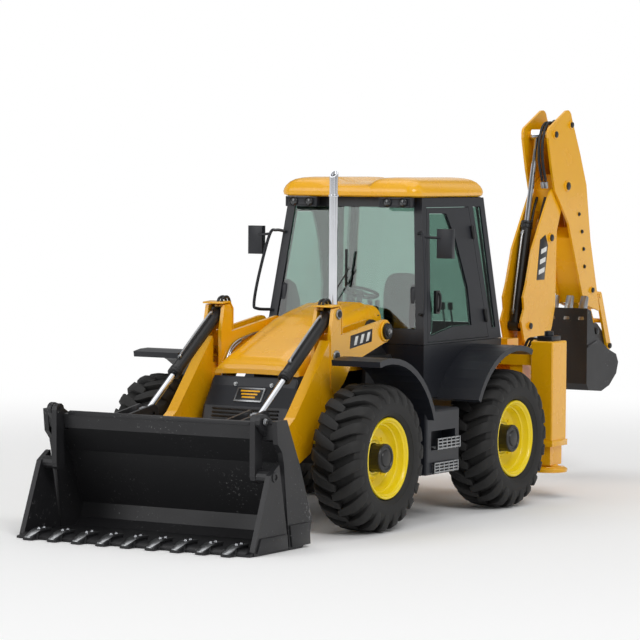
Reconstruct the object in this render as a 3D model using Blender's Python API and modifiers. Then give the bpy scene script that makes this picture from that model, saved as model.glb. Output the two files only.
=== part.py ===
"""Toy backhoe loader, 1:16, as an assembly of separate jointed pieces.

Machine frame: front (loader bucket) towards -Y, backhoe towards +Y, the machine's left side
towards +X, ground at Z = 0. Sizes below are in millimetres from the rear axle line and the
machine's centre plane; at() turns them into metres in the shared frame.
"""
import math
from collections import namedtuple

import bmesh
import bpy
from mathutils import Matrix, Vector

MM = 0.001
GAP = 0.3            # running gap between pieces that touch on the real toy
ORIGIN_Y = 26.5      # rear axle line, ahead of it in +Y, in the frame centred on the whole machine

# ---- wheels and axles
WHEELBASE = 138.75
TYRE_RADIUS = 37.8
TYRE_WIDTH = 28.5
WHEEL_X = 62.2       # middle of a tyre, from the centre plane
RIM_RADIUS = 21.0
HUB_RADIUS = 7.2
HUB_END_X = 71.0
KINGPIN_X = 43.0
KINGPIN_RADIUS = 1.6
AXLE_HALF_DEPTH = 5.5
TRUNNION_RADIUS = 2.6

# ---- chassis and engine hood
CHASSIS_HALF_WIDTH = 21.0
CHASSIS_BOTTOM = 48.5
CHASSIS_TOP = 62.0
CHASSIS_REAR = 50.0
HOOD_HALF_WIDTH = 26.0
HOOD_REAR_Y = -64.0
HOOD_REAR_Z = 112.0
HOOD_FRONT_Z = 82.0
HOOD_BASE_Z = 78.0
HOOD_WALL = 1.8
EXHAUST_X = 20.5
EXHAUST_Y = -105.0
EXHAUST_RADIUS = 2.3
EXHAUST_TOP = 179.0

# ---- cab
CAB_WAIST_Z = 91.0
CAB_FLOOR_Z = CHASSIS_TOP + GAP
CAB_TOP_Z = 169.0
CAB_HALF_WAIST = 50.0
CAB_HALF_TOP = 42.0
CAB_FRONT_WAIST = -60.0
CAB_FRONT_TOP = -49.0
CAB_REAR_WAIST = 28.0
CAB_REAR_TOP = 20.5
CAB_WALL = 2.6
TUB_WALL = 5.4
FENDER_GAP = 10.2    # between tyre and mudguard
FENDER_THICK = 3.0
HINGE_Y = -66.2      # bonnet hinge
HINGE_Z = 105.5
GLASS = 1.0
PILLAR = 5.0
DOOR_REAR_TOP = 1.5
DOOR_REAR_WAIST = 13.5
DOOR_RIM = 3.0
DOOR_LIGHT_REAR = ((-23.6, 160.5), (-15.0, 146.0), (-6.0, 120.0), (-5.0, 99.4))   # glass edge as (y, z)
DOOR_LIGHT_LOW = ((-26.0, 99.4), (-41.0, 97.0))
ROOF_TOP_Z = 180.0
ROOF_FRONT = -57.5
ROOF_REAR = 22.5
ROOF_HALF = 43.5
ROOF_CORNER = 7.0
MIRROR_MOUNT_Z = (107.0, 150.0)
MIRROR_HEAD_X = 59.6
SEAT_Y = -4.0
SEAT_Z = 84.8
STEERING_CENTRE = Vector((0.0, -41.4, 117.0))
STEERING_AXIS = Vector((0.0, 5.1, 14.3)).normalized()
STEERING_HUB = 1.6   # how far the hub reaches down from the wheel's middle
COLUMN_LENGTH = 16.0

# ---- loader, places on the side view as (y, z)
FRONT_AXLE_Y = -WHEELBASE
ARM_PIVOT = (-83.0, 99.0)
LIFT_BASE = (-74.0, 83.6)
KNEE_PIN = (FRONT_AXLE_Y + 5.5, 88.3)
CROWD_BASE = (FRONT_AXLE_Y + 7.5, 109.8)
BUCKET_PIVOT = (FRONT_AXLE_Y - 50.3, 41.0)
CROWD_PIN = (FRONT_AXLE_Y - 60.8, 60.0)
ARM_INNER_X = 27.5
ARM_OUTER_X = 39.5
ARM_PLATE = 2.0
BEAM_INNER_X = 33.0
BEAM_OUTER_X = 39.0
LIFT_X = 34.8
LIFT_RADIUS = 2.3
LIFT_ROD_RADIUS = 1.2
LIFT_BARREL = 41.0
CROWD_X = 33.5
CROWD_RADIUS = 3.2
CROWD_ROD_RADIUS = 1.6
CROWD_BARREL = 53.0
TOWER_X = 29.8
TOWER_PLATE = 2.2
PIVOT_RADIUS = 3.0

# ---- loader bucket
BUCKET_HALF_WIDTH = 69.5
BUCKET_SIDE = 2.8
BUCKET_TOP = 63.4
BUCKET_LIP = 61.0
BUCKET_BACK_Y = FRONT_AXLE_Y - 66.5
BUCKET_SPLIT_Y = FRONT_AXLE_Y - 87.2
BUCKET_EDGE_Y = FRONT_AXLE_Y - 122.0
JAW_PIVOT = (FRONT_AXLE_Y - 101.3, 63.0)
JAW_BOSS = (FRONT_AXLE_Y - 100.9, 36.5)
JAW_PIN_RADIUS = 1.4
JAW_LEVER_X = 57.4
JAW_LEVER_THICK = 3.0
TOOTH_COUNT = 9
TOOTH_WIDTH = 5.2
TOOTH_REACH = 5.5    # how far a tooth stands out ahead of the edge
TOOTH_MARGIN = 11.0  # outermost tooth's middle, in from the bucket's end

# ---- rear frame and backhoe
FRAME_FRONT_Y = 54.0
FRAME_REAR_Y = 72.0
LEG_X = 62.0
LEG_HALF_X = 7.0
LEG_WALL = 1.6
LEG_TOP = 88.0
LEG_BOTTOM = 29.0
FOOT_BOTTOM = 14.0
SIDE_SHIFT = 21.0
CARRIAGE_HALF = 14.0
SWING_Y = 97.0
SWING_RADIUS = 4.0
BOOM_FOOT = (116.0, 74.0)
BOOM_TIP = (147.4, 174.8)
BOOM_HALF = 7.2
BOOM_PLATE = 1.3
BOOM_RAM_BASE = (112.0, 90.0)
BOOM_RAM_PIN = (130.0, 144.4)
BOOM_RAM_X = 3.4     # from the boom's middle plane
BOOM_RAM_RADIUS = 2.2
BOOM_RAM_BARREL = 38.0
DIPPER_RAM_BASE = (104.0, 93.5)
DIPPER_RAM_PIN = (131.0, 205.1)
DIPPER_RAM_X = -2.4
DIPPER_RAM_RADIUS = 3.2
DIPPER_RAM_ROD = 1.7
DIPPER_RAM_BARREL = 62.0
DIPPER_PLATE = 1.4
REAR_BUCKET_PIVOT = (194.6, 86.6)
REAR_BUCKET_EAR = (210.0, 77.0)
REAR_BUCKET_HALF = 18.5
LEVER_PIVOT = (181.5, 112.0)
LEVER_END = (197.0, 108.0)
BUCKET_RAM_BASE = (151.5, 211.0)
BUCKET_RAM_RADIUS = 2.4
BUCKET_RAM_ROD = 1.2
BUCKET_RAM_BARREL = 66.0
NOSE_HALF = 3.6      # the dipper's nose, between the bucket's ears

ROUND = 16           # sides of a middling round piece
FINE = 12            # sides of a thin pin


# ------------------------------------------------------------------ finishes
def finish(name, colour, roughness, metallic=0.0, transmission=0.0):
    """A Principled BSDF with one colour."""
    material = bpy.data.materials.new(name)
    material.use_nodes = True
    shader = material.node_tree.nodes["Principled BSDF"]
    shader.inputs["Base Color"].default_value = (*colour, 1.0)
    shader.inputs["Roughness"].default_value = roughness
    shader.inputs["Metallic"].default_value = metallic
    shader.inputs["Transmission Weight"].default_value = transmission
    material.diffuse_color = (*colour, 1.0)
    return material


# ------------------------------------------------------------------ basic solids
def at(x, y, z):
    """A place in the machine's millimetres as metres in the shared frame."""
    return Vector((x, y + ORIGIN_Y, z)) * MM


def place(name, mesh, origin):
    """An object for a mesh whose vertices are in shared-frame metres, with its own origin."""
    mesh.transform(Matrix.Translation(-origin))
    item = bpy.data.objects.new(name, mesh)
    item.location = origin
    bpy.context.scene.collection.objects.link(item)
    bpy.context.view_layer.update()
    return item


def from_bmesh(name, solid, origin):
    """Close a bmesh off into an object."""
    bmesh.ops.recalc_face_normals(solid, faces=solid.faces[:])
    mesh = bpy.data.meshes.new(name)
    solid.to_mesh(mesh)
    solid.free()
    return place(name, mesh, origin)


def block(name, low, high, origin=Vector(), bevel=0.0):
    """A box between two corners, with bevelled edges if a bevel is given."""
    a = at(*low)
    b = at(*high)
    size = Matrix.Diagonal((abs(b.x - a.x), abs(b.y - a.y), abs(b.z - a.z), 1.0))
    solid = bmesh.new()
    bmesh.ops.create_cube(solid, size=1.0, matrix=Matrix.Translation((a + b) / 2) @ size)
    if bevel:
        bmesh.ops.bevel(
            solid,
            geom=solid.edges[:],
            offset=bevel * MM,
            segments=2,
            profile=0.5,
            affect="EDGES",
        )
    return from_bmesh(name, solid, origin)


def stacked(name, rings_mm, origin=Vector()):
    """A solid skinned over closed rings of points, lowest ring first."""
    solid = bmesh.new()
    rings = [[solid.verts.new(at(*point)) for point in ring] for ring in rings_mm]
    solid.faces.new(rings[0])
    for lower, upper in zip(rings, rings[1:]):
        for i in range(len(lower)):
            j = (i + 1) % len(lower)
            solid.faces.new((lower[i], lower[j], upper[j], upper[i]))
    solid.faces.new(rings[-1][::-1])
    return from_bmesh(name, solid, origin)


def tapered(name, levels, origin=Vector()):
    """A box whose plan changes with height: levels are (z, half_x, y_front, y_rear)."""
    rings = []
    for z, half, front, rear in levels:
        rings.append([(-half, front, z), (half, front, z), (half, rear, z), (-half, rear, z)])
    return stacked(name, rings, origin)


def cylinder(name, start, end, radius, origin=Vector(), sides=ROUND, end_radius=None):
    """A round bar between two points."""
    a = at(*start)
    b = at(*end)
    turn = (b - a).to_track_quat("Z", "Y").to_matrix().to_4x4()
    solid = bmesh.new()
    bmesh.ops.create_cone(
        solid,
        cap_ends=True,
        segments=sides,
        radius1=radius * MM,
        radius2=(radius if end_radius is None else end_radius) * MM,
        depth=(b - a).length,
        matrix=Matrix.Translation((a + b) / 2) @ turn,
    )
    return from_bmesh(name, solid, origin)


def pin(name, side_point, x0, x1, radius, origin=Vector(), sides=FINE):
    """A round bar along X at a (y, z) place."""
    y, z = side_point
    return cylinder(name, (x0, y, z), (x1, y, z), radius, origin, sides)


def baked(source):
    """The closed mesh of an object's finished shape, which takes the object's place."""
    bpy.context.scene.collection.objects.link(source)
    bpy.context.view_layer.update()
    graph = bpy.context.evaluated_depsgraph_get()
    mesh = bpy.data.meshes.new_from_object(source.evaluated_get(graph))
    bpy.data.objects.remove(source)
    solid = bmesh.new()
    solid.from_mesh(mesh)
    bmesh.ops.remove_doubles(solid, verts=solid.verts[:], dist=1e-6)
    bmesh.ops.recalc_face_normals(solid, faces=solid.faces[:])
    solid.to_mesh(mesh)
    solid.free()
    return mesh


def plate(name, outline, x0, x1, origin=Vector()):
    """A flat side-view outline of (y, z) points, as thick as x0 to x1."""
    curve = bpy.data.curves.new(name, "CURVE")
    curve.dimensions = "2D"
    curve.fill_mode = "BOTH"
    curve.extrude = abs(x1 - x0) / 2 * MM
    spline = curve.splines.new("POLY")
    spline.points.add(len(outline) - 1)
    for point, (y, z) in zip(spline.points, outline):
        point.co = ((y + ORIGIN_Y) * MM, z * MM, 0, 1)
    spline.use_cyclic_u = True
    mesh = baked(bpy.data.objects.new(name, curve))
    swap = Matrix(((0, 0, 1, 0), (1, 0, 0, 0), (0, 1, 0, 0), (0, 0, 0, 1)))
    mesh.transform(Matrix.Translation(((x0 + x1) / 2 * MM, 0, 0)) @ swap)
    return place(name, mesh, origin)


def tube(name, points, radius, origin=Vector()):
    """A bent round bar through a few points."""
    curve = bpy.data.curves.new(name, "CURVE")
    curve.dimensions = "3D"
    curve.bevel_depth = radius * MM
    curve.bevel_resolution = 1
    curve.use_fill_caps = True
    spline = curve.splines.new("POLY")
    spline.points.add(len(points) - 1)
    for point, place_mm in zip(spline.points, points):
        point.co = (*at(*place_mm), 1)
    return place(name, baked(bpy.data.objects.new(name, curve)), origin)


def turned(name, profile, sides, origin):
    """A ring turned about the X axis through its origin: profile is a closed loop of (x, radius)."""
    outline = bpy.data.meshes.new(name)
    points = [Vector((x * MM, 0, radius * MM)) for x, radius in profile]
    outline.from_pydata(points, [(i, (i + 1) % len(points)) for i in range(len(points))], [])
    source = bpy.data.objects.new(name, outline)
    screw = source.modifiers.new("turn", "SCREW")
    screw.axis = "X"
    screw.angle = math.tau
    screw.steps = sides
    screw.render_steps = sides
    screw.use_merge_vertices = True
    screw.merge_threshold = 0.00001
    ring = baked(source)
    ring.transform(Matrix.Translation(origin))
    return place(name, ring, origin)


def arc(centre, radius, start, end, count):
    """Points on a side-view arc, angles in degrees from +Y towards +Z."""
    angles = [math.radians(start + (end - start) * i / (count - 1)) for i in range(count)]
    return [(centre[0] + radius * math.cos(a), centre[1] + radius * math.sin(a)) for a in angles]


def signed_area(loop):
    """Area inside a closed loop of flat points, negative when it runs clockwise."""
    pairs = zip(loop[-1:] + loop[:-1], loop)
    return sum(a[0] * b[1] - b[0] * a[1] for a, b in pairs) / 2


def inset(outline, margin):
    """A side-view outline with every edge moved inwards by margin."""
    count = len(outline)
    inwards = math.copysign(margin, signed_area(outline))
    edges = []
    for i in range(count):
        (ay, az), (by, bz) = outline[i], outline[(i + 1) % count]
        length = math.hypot(by - ay, bz - az)
        ny, nz = -(bz - az) / length, (by - ay) / length
        edges.append((ny, nz, ny * ay + nz * az + inwards))
    points = []
    for i in range(count):
        (ay, az, a), (by, bz, b) = edges[i - 1], edges[i]
        across = ay * bz - az * by
        points.append(((a * bz - b * az) / across, (b * ay - a * by) / across))
    return points


# ------------------------------------------------------------------ joining and cutting
def work_on(base, other, operation):
    """Join to, cut from or keep in common with a second solid, which is then put out of sight."""
    step = base.modifiers.new(other.name, "BOOLEAN")
    step.operation = operation
    step.solver = "EXACT"
    step.object = other
    other.hide_render = True
    other.display_type = "WIRE"
    bpy.context.scene.collection.objects.unlink(other)
    bpy.data.collections["cutters"].objects.link(other)
    return base


def join(base, *others):
    """Fuse more solids onto a piece."""
    for other in others:
        work_on(base, other, "UNION")
    return base


def cut(base, *others):
    """Take solids away from a piece."""
    for other in others:
        work_on(base, other, "DIFFERENCE")
    return base


def keep(base, other):
    """Leave only what a piece shares with another solid."""
    return work_on(base, other, "INTERSECT")


def dress(item, material, parent=None):
    """Give a finished piece its material and hang it on what carries it."""
    item.data.materials.clear()
    item.data.materials.append(material)
    if parent is not None:
        bpy.context.view_layer.update()
        item.parent = parent
        item.matrix_parent_inverse = parent.matrix_world.inverted()
    return item


def side_name(side):
    """Left for +X, right for -X."""
    return "left" if side > 0 else "right"


# ------------------------------------------------------------------ chassis and running gear
def chassis(paint):
    """Main frame with engine, axle hangers and the loader's two towers."""
    half = CHASSIS_HALF_WIDTH
    front = FRONT_AXLE_Y - 8.8
    frame = block("chassis_frame", (-half, front, CHASSIS_BOTTOM), (half, CHASSIS_REAR, CHASSIS_TOP))
    engine_top = HOOD_BASE_Z + 4
    engine = block("engine_body", (-12, FRONT_AXLE_Y + 8, CHASSIS_TOP - 1), (12, -78, engine_top))
    rocker = block("engine_rocker", (-7, FRONT_AXLE_Y + 14, engine_top - 1), (7, -84, engine_top + 6))
    join(frame, engine, rocker)
    for edge in (-1, 1):
        near = FRONT_AXLE_Y + edge * (AXLE_HALF_DEPTH + GAP)
        far = near + edge * 2.5
        hanger = block("axle_hanger", (-8, near, 31), (8, far, CHASSIS_BOTTOM + 1))
        join(frame, hanger)
    bore_start = (0, FRONT_AXLE_Y - 12, TYRE_RADIUS)
    bore_end = (0, FRONT_AXLE_Y + 12, TYRE_RADIUS)
    cut(frame, cylinder("trunnion_hole", bore_start, bore_end, TRUNNION_RADIUS + GAP))
    for side in (-1, 1):
        saddle = block("saddle", (side * 13, -5, 44.0 + GAP), (side * 20, 5, CHASSIS_BOTTOM + 1))
        join(frame, saddle, *tower(side))
    return dress(frame, paint)


def tower(side):
    """One loader tower: foot, plate, arm pivot pin and lift ram pin."""
    py, pz = ARM_PIVOT
    outer = side * (TOWER_X + TOWER_PLATE)
    ly, lz = LIFT_BASE
    foot = block("tower_foot", (side * (CHASSIS_HALF_WIDTH - 1), py - 9, 50), (outer, ly + 6, 61))
    outline = [(py - 9, 50), (ly + 6, 50), (ly + 5, lz + 3), (ly + 1, lz + 6)]
    outline += arc(ARM_PIVOT, 6.0, -10, 190, 7)
    web = plate("tower_plate", outline, side * TOWER_X, outer)
    pivot = pin("arm_pin", ARM_PIVOT, side * (ARM_INNER_X - 0.4), side * (ARM_OUTER_X + 1.0), PIVOT_RADIUS)
    head_x = side * (ARM_OUTER_X + GAP)
    head = pin("arm_pin_head", ARM_PIVOT, head_x, side * (ARM_OUTER_X + 1.6), PIVOT_RADIUS + 1.4)
    ram_pin = pin("lift_pin", LIFT_BASE, side * TOWER_X, side * (LIFT_X + LIFT_RADIUS), 1.3)
    return foot, web, pivot, head, ram_pin


def front_axle(metal, parent):
    """Oscillating front beam with its trunnion and kingpin eyes."""
    origin = at(0, FRONT_AXLE_Y, TYRE_RADIUS)
    depth = AXLE_HALF_DEPTH - 0.5
    low = (-KINGPIN_X, FRONT_AXLE_Y - depth, TYRE_RADIUS - 4.5)
    beam = block("front_axle", low, (KINGPIN_X, FRONT_AXLE_Y + depth, TYRE_RADIUS + 4.5), origin)
    reach = AXLE_HALF_DEPTH + 4.0
    trunnion = cylinder(
        "trunnion",
        (0, FRONT_AXLE_Y - reach, TYRE_RADIUS),
        (0, FRONT_AXLE_Y + reach, TYRE_RADIUS),
        TRUNNION_RADIUS,
    )
    bulge = pin("front_gear_case", (FRONT_AXLE_Y, TYRE_RADIUS), -9, 9, 5.2)
    join(beam, trunnion, bulge)
    for side in (-1, 1):
        x = side * KINGPIN_X
        eye_low = (x, FRONT_AXLE_Y, TYRE_RADIUS - 4.5)
        join(beam, cylinder("kingpin_eye", eye_low, (x, FRONT_AXLE_Y, TYRE_RADIUS + 4.5), 3.6))
    for side in (-1, 1):
        x = side * KINGPIN_X
        hole = cylinder("kingpin_hole", (x, FRONT_AXLE_Y, 20), (x, FRONT_AXLE_Y, 56), KINGPIN_RADIUS + GAP)
        cut(beam, hole)
    return dress(beam, metal, parent)


def knuckle(side, metal, parent):
    """Steering knuckle: fork, kingpin and wheel hub."""
    x = side * KINGPIN_X
    origin = at(x, FRONT_AXLE_Y, TYRE_RADIUS)
    name = side_name(side) + "_steering_knuckle"
    cheek_x = side * (KINGPIN_X + 3.6 + GAP)
    cheek = block(
        name,
        (cheek_x, FRONT_AXLE_Y - 5, TYRE_RADIUS - 8),
        (cheek_x + side * 3.0, FRONT_AXLE_Y + 5, TYRE_RADIUS + 8),
        origin,
    )
    for level in (-1, 1):
        near = TYRE_RADIUS + level * (4.5 + GAP)
        far = TYRE_RADIUS + level * 7.8
        low = (x - side * 3.0, FRONT_AXLE_Y - 3.5, near)
        join(cheek, block("fork", low, (cheek_x + side, FRONT_AXLE_Y + 3.5, far)))
    kingpin = cylinder(
        "kingpin",
        (x, FRONT_AXLE_Y, TYRE_RADIUS - 7),
        (x, FRONT_AXLE_Y, TYRE_RADIUS + 7),
        KINGPIN_RADIUS,
        sides=16,
    )
    hub = pin("hub", (FRONT_AXLE_Y, TYRE_RADIUS), cheek_x + side, side * HUB_END_X, HUB_RADIUS, sides=ROUND)
    join(cheek, kingpin, hub)
    return dress(cheek, metal, parent)


def rear_axle(metal, parent):
    """Fixed rear beam with a hub at each end."""
    beam = block("rear_axle", (-KINGPIN_X, -6, 32.5), (KINGPIN_X, 6, 44.0))
    case = pin("rear_gear_case", (0, TYRE_RADIUS), -11, 11, 9.5)
    join(beam, case)
    for side in (-1, 1):
        inner, outer = side * (KINGPIN_X - 2), side * HUB_END_X
        join(beam, pin("rear_hub", (0, TYRE_RADIUS), inner, outer, HUB_RADIUS, sides=ROUND))
    return dress(beam, metal, parent)


def wheel(side, y, place_name, rim_finish, rubber, parent):
    """A dished rim running on its hub, and the tyre on the rim."""
    origin = at(side * WHEEL_X, y, TYRE_RADIUS)
    half = TYRE_WIDTH / 2
    bore = HUB_RADIUS + GAP
    flange = half - 2.4
    well = RIM_RADIUS - 3.0
    rim_profile = [
        (-flange, RIM_RADIUS - 1.0),
        (-flange, RIM_RADIUS),
        (flange, RIM_RADIUS),
        (flange, RIM_RADIUS - 1.4),
        (flange - 3.5, well),
        (3.0, well - 1.0),
        (1.0, bore + 2.5),
        (2.5, bore + 2.0),
        (2.5, bore),
        (-3.5, bore),
        (-3.5, bore + 3.5),
        (-2.0, well - 1.0),
        (-flange + 2.5, well),
    ]
    rim_profile = [(side * x, radius) for x, radius in rim_profile]
    name = place_name + "_" + side_name(side)
    rim = turned(name + "_rim", rim_profile, 20, origin)
    seat = RIM_RADIUS + GAP
    tyre_profile = [
        (-flange, seat),
        (-half + 1.2, seat + 1.5),
        (-half, TYRE_RADIUS - 8.5),
        (-half + 3.5, TYRE_RADIUS),
        (half - 3.5, TYRE_RADIUS),
        (half, TYRE_RADIUS - 8.5),
        (half - 1.2, seat + 1.5),
        (flange, seat),
    ]
    tyre = turned(name + "_tyre", tyre_profile, 30, origin)
    dress(rim, rim_finish, parent)
    dress(tyre, rubber, rim)
    return rim


# ------------------------------------------------------------------ hood
def hood_line():
    """The bonnet's top line in side view, front to rear."""
    front = FRONT_AXLE_Y - 8.5
    nose = [(front, HOOD_FRONT_Z), (front + 4, HOOD_FRONT_Z + 3.5)]
    return nose + [(front + 26, 94.5), (front + 52, 105.0), (HOOD_REAR_Y, HOOD_REAR_Z)]


def hood(paint, grille_finish, chrome, parent):
    """Bonnet shell, grille cowl and exhaust stack."""
    top = hood_line()
    front = top[0][0]
    half = HOOD_HALF_WIDTH
    origin = at(0, HINGE_Y, HINGE_Z)
    outline = [(HOOD_REAR_Y, HOOD_BASE_Z), (front, HOOD_BASE_Z)] + top
    bonnet = plate("bonnet", outline, -half, half, origin)
    edge = bonnet.modifiers.new("rounded_shoulders", "BEVEL")
    edge.width = 3.0 * MM
    edge.segments = 2
    edge.limit_method = "ANGLE"
    edge.angle_limit = math.radians(60)
    inner = [(HOOD_REAR_Y + 5, HOOD_BASE_Z - 5), (front + HOOD_WALL, HOOD_BASE_Z - 5)]
    inner += [(front + HOOD_WALL, HOOD_FRONT_Z - HOOD_WALL)]
    inner += [(y + 0.5, z - HOOD_WALL) for y, z in top[1:-1]]
    inner += [(HOOD_REAR_Y + 5, HOOD_REAR_Z - HOOD_WALL)]
    inside = half - HOOD_WALL
    x, y = EXHAUST_X, EXHAUST_Y
    cut(
        bonnet,
        plate("bonnet_hollow", inner, -inside, inside),
        pin("hinge_hole", (HINGE_Y, HINGE_Z), -half - 5, half + 5, 1.2 + GAP),
        cylinder("exhaust_hole", (x, y, HOOD_FRONT_Z), (x, y, HOOD_REAR_Z + 5), EXHAUST_RADIUS + GAP),
    )
    dress(bonnet, paint, parent)
    foot_z = HOOD_FRONT_Z + 10
    stack = cylinder("exhaust_stack", (x, y, foot_z), (x, y, EXHAUST_TOP), EXHAUST_RADIUS, origin)
    cut(stack, cylinder("exhaust_bore", (x, y, foot_z + 8), (x, y, EXHAUST_TOP + 5), EXHAUST_RADIUS - 0.6))
    dress(stack, chrome, bonnet)
    low_y = front - 13
    back_y = front - 0.6
    face = [(back_y, HOOD_BASE_Z - GAP), (front - 3, HOOD_BASE_Z - 6), (front - 10, 62), (low_y, 50)]
    face += [(low_y + 1, 46), (back_y, 46)]
    grille = plate("front_grille", face, -half - 0.8, half + 0.8)
    soft = grille.modifiers.new("rounded_edges", "BEVEL")
    soft.width = 1.6 * MM
    soft.segments = 2
    soft.limit_method = "ANGLE"
    soft.angle_limit = math.radians(60)
    dress(grille, grille_finish, parent)
    return bonnet


# ------------------------------------------------------------------ cab
def cab_levels(inset, below=0.0, above=0.0):
    """Plan of the cab at floor, waist and top, drawn in by inset on every side."""
    levels = []
    rise = CAB_TOP_Z - CAB_WAIST_Z
    for z in (CAB_FLOOR_Z - below, CAB_WAIST_Z, CAB_TOP_Z + above):
        share = max(0.0, (z - CAB_WAIST_Z) / rise)
        half = CAB_HALF_WAIST + (CAB_HALF_TOP - CAB_HALF_WAIST) * share
        front = CAB_FRONT_WAIST + (CAB_FRONT_TOP - CAB_FRONT_WAIST) * share
        rear = CAB_REAR_WAIST + (CAB_REAR_TOP - CAB_REAR_WAIST) * share
        levels.append((z, half - inset, front + inset, rear - inset))
    return levels


def slope(waist_value, top_value, z):
    """Where a line between the cab's waist and its top stands at height z."""
    share = (z - CAB_WAIST_Z) / (CAB_TOP_Z - CAB_WAIST_Z)
    return waist_value + (top_value - waist_value) * share


def door_outline():
    """Side view of a door opening."""
    low = CAB_WAIST_Z + 1.0
    high = CAB_TOP_Z - PILLAR
    front = PILLAR - 0.5
    return [
        (slope(CAB_FRONT_WAIST, CAB_FRONT_TOP, low) + front, low),
        (slope(DOOR_REAR_WAIST, DOOR_REAR_TOP, low), low),
        (slope(DOOR_REAR_WAIST, DOOR_REAR_TOP, high), high),
        (slope(CAB_FRONT_WAIST, CAB_FRONT_TOP, high) + front, high),
    ]


def light_outline():
    """Side view of a door's glass opening: narrow frame in front, wide curved frame behind."""
    front_low, rear_low, rear_high, front_high = inset(door_outline(), GAP + DOOR_RIM)
    return [front_low, front_high, *DOOR_LIGHT_REAR, *DOOR_LIGHT_LOW]


def quarter_outline():
    """Side view of the window behind a door."""
    low = CAB_WAIST_Z + 6.0
    high = CAB_TOP_Z - PILLAR
    return [
        (slope(DOOR_REAR_WAIST, DOOR_REAR_TOP, low) + PILLAR, low),
        (slope(CAB_REAR_WAIST, CAB_REAR_TOP, low) - PILLAR, low),
        (slope(CAB_REAR_WAIST, CAB_REAR_TOP, high) - PILLAR, high),
        (slope(DOOR_REAR_WAIST, DOOR_REAR_TOP, high) + PILLAR, high),
    ]


def end_window(name, margin, y0, y1):
    """A tapered prism through an end wall, for the windscreen and the rear window."""
    low = CAB_WAIST_Z + 8.0 + margin
    high = CAB_TOP_Z - PILLAR - margin
    wide = slope(CAB_HALF_WAIST, CAB_HALF_TOP, low) - PILLAR - margin
    narrow = slope(CAB_HALF_WAIST, CAB_HALF_TOP, high) - PILLAR - margin
    return tapered(name, [(low, wide, y0, y1), (high, narrow, y0, y1)])


def cab_shell(name, outer, inner, origin=Vector()):
    """The cab's upper walls between two insets, open at the bottom and the top."""
    walls = tapered(name, cab_levels(outer)[1:], origin)
    return cut(walls, tapered(name + "_hollow", cab_levels(inner, 10, 10)))


def cab_frame(black, parent):
    """Pillars and rails of the cab, left where the windows and doors are cut out."""
    frame = cab_shell("cab_frame", 0.0, CAB_WALL)
    wide = CAB_HALF_WAIST + 10
    cut(
        frame,
        plate("door_opening", door_outline(), -wide, wide),
        plate("quarter_opening", quarter_outline(), -wide, wide),
        end_window("end_openings", 0, CAB_FRONT_WAIST - 10, CAB_REAR_WAIST + 10),
    )
    return dress(frame, black, parent)


def windows(glass, parent):
    """Windscreen and one wrap-round rear glazing."""
    outer = (CAB_WALL - GLASS) / 2
    screen = cab_shell("windscreen", outer, outer + GLASS)
    keep(screen, end_window("screen_shape", GAP, CAB_FRONT_WAIST - 10, CAB_FRONT_WAIST + 20))
    dress(screen, glass, parent)
    rear = cab_shell("rear_window", outer, outer + GLASS)
    keep(rear, end_window("rear_shape", GAP, CAB_REAR_WAIST - 20, CAB_REAR_WAIST + 10))
    dress(rear, glass, parent)
    for side in (-1, 1):
        pane = cab_shell(side_name(side) + "_quarter_glass", outer, outer + GLASS)
        shape = inset(quarter_outline(), GAP)
        keep(pane, plate("quarter_shape", shape, side * 20, side * (CAB_HALF_WAIST + 10)))
        dress(pane, glass, parent)


def door_axis(side):
    """Two points on a door's hinge line, along its sloping rear edge."""
    points = []
    for z in (CAB_WAIST_Z, CAB_TOP_Z):
        x = slope(CAB_HALF_WAIST, CAB_HALF_TOP, z) + 0.4
        points.append((side * x, slope(DOOR_REAR_WAIST, DOOR_REAR_TOP, z) - GAP, z))
    return points


def door(side, black, glass, parent):
    """A door frame hinged at its rear edge, and the pane in it."""
    origin = at(*door_axis(side)[0])
    name = side_name(side) + "_door"
    reach = side * (CAB_HALF_WAIST + 10)
    frame = cab_shell(name, 0.0, CAB_WALL, origin)
    keep(frame, plate("door_shape", inset(door_outline(), GAP), side * 20, reach))
    cut(frame, plate("door_light", light_outline(), side * 20, reach))
    dress(frame, black, parent)
    outer = (CAB_WALL - GLASS) / 2
    pane = cab_shell(name + "_glass", outer, outer + GLASS, origin)
    keep(pane, plate("pane_shape", inset(light_outline(), GAP), side * 20, reach))
    dress(pane, glass, frame)
    return frame


def fender(side, axle_y, start, end, inner_x, outer_x, name, origin=Vector()):
    """A mudguard: an arc round an axle, flat outside."""
    centre = (axle_y, TYRE_RADIUS)
    radius = TYRE_RADIUS + FENDER_GAP
    outline = arc(centre, radius + FENDER_THICK, start, end, 12) + arc(centre, radius, end, start, 12)
    return plate(name, outline, side * inner_x, side * outer_x, origin)


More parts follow.
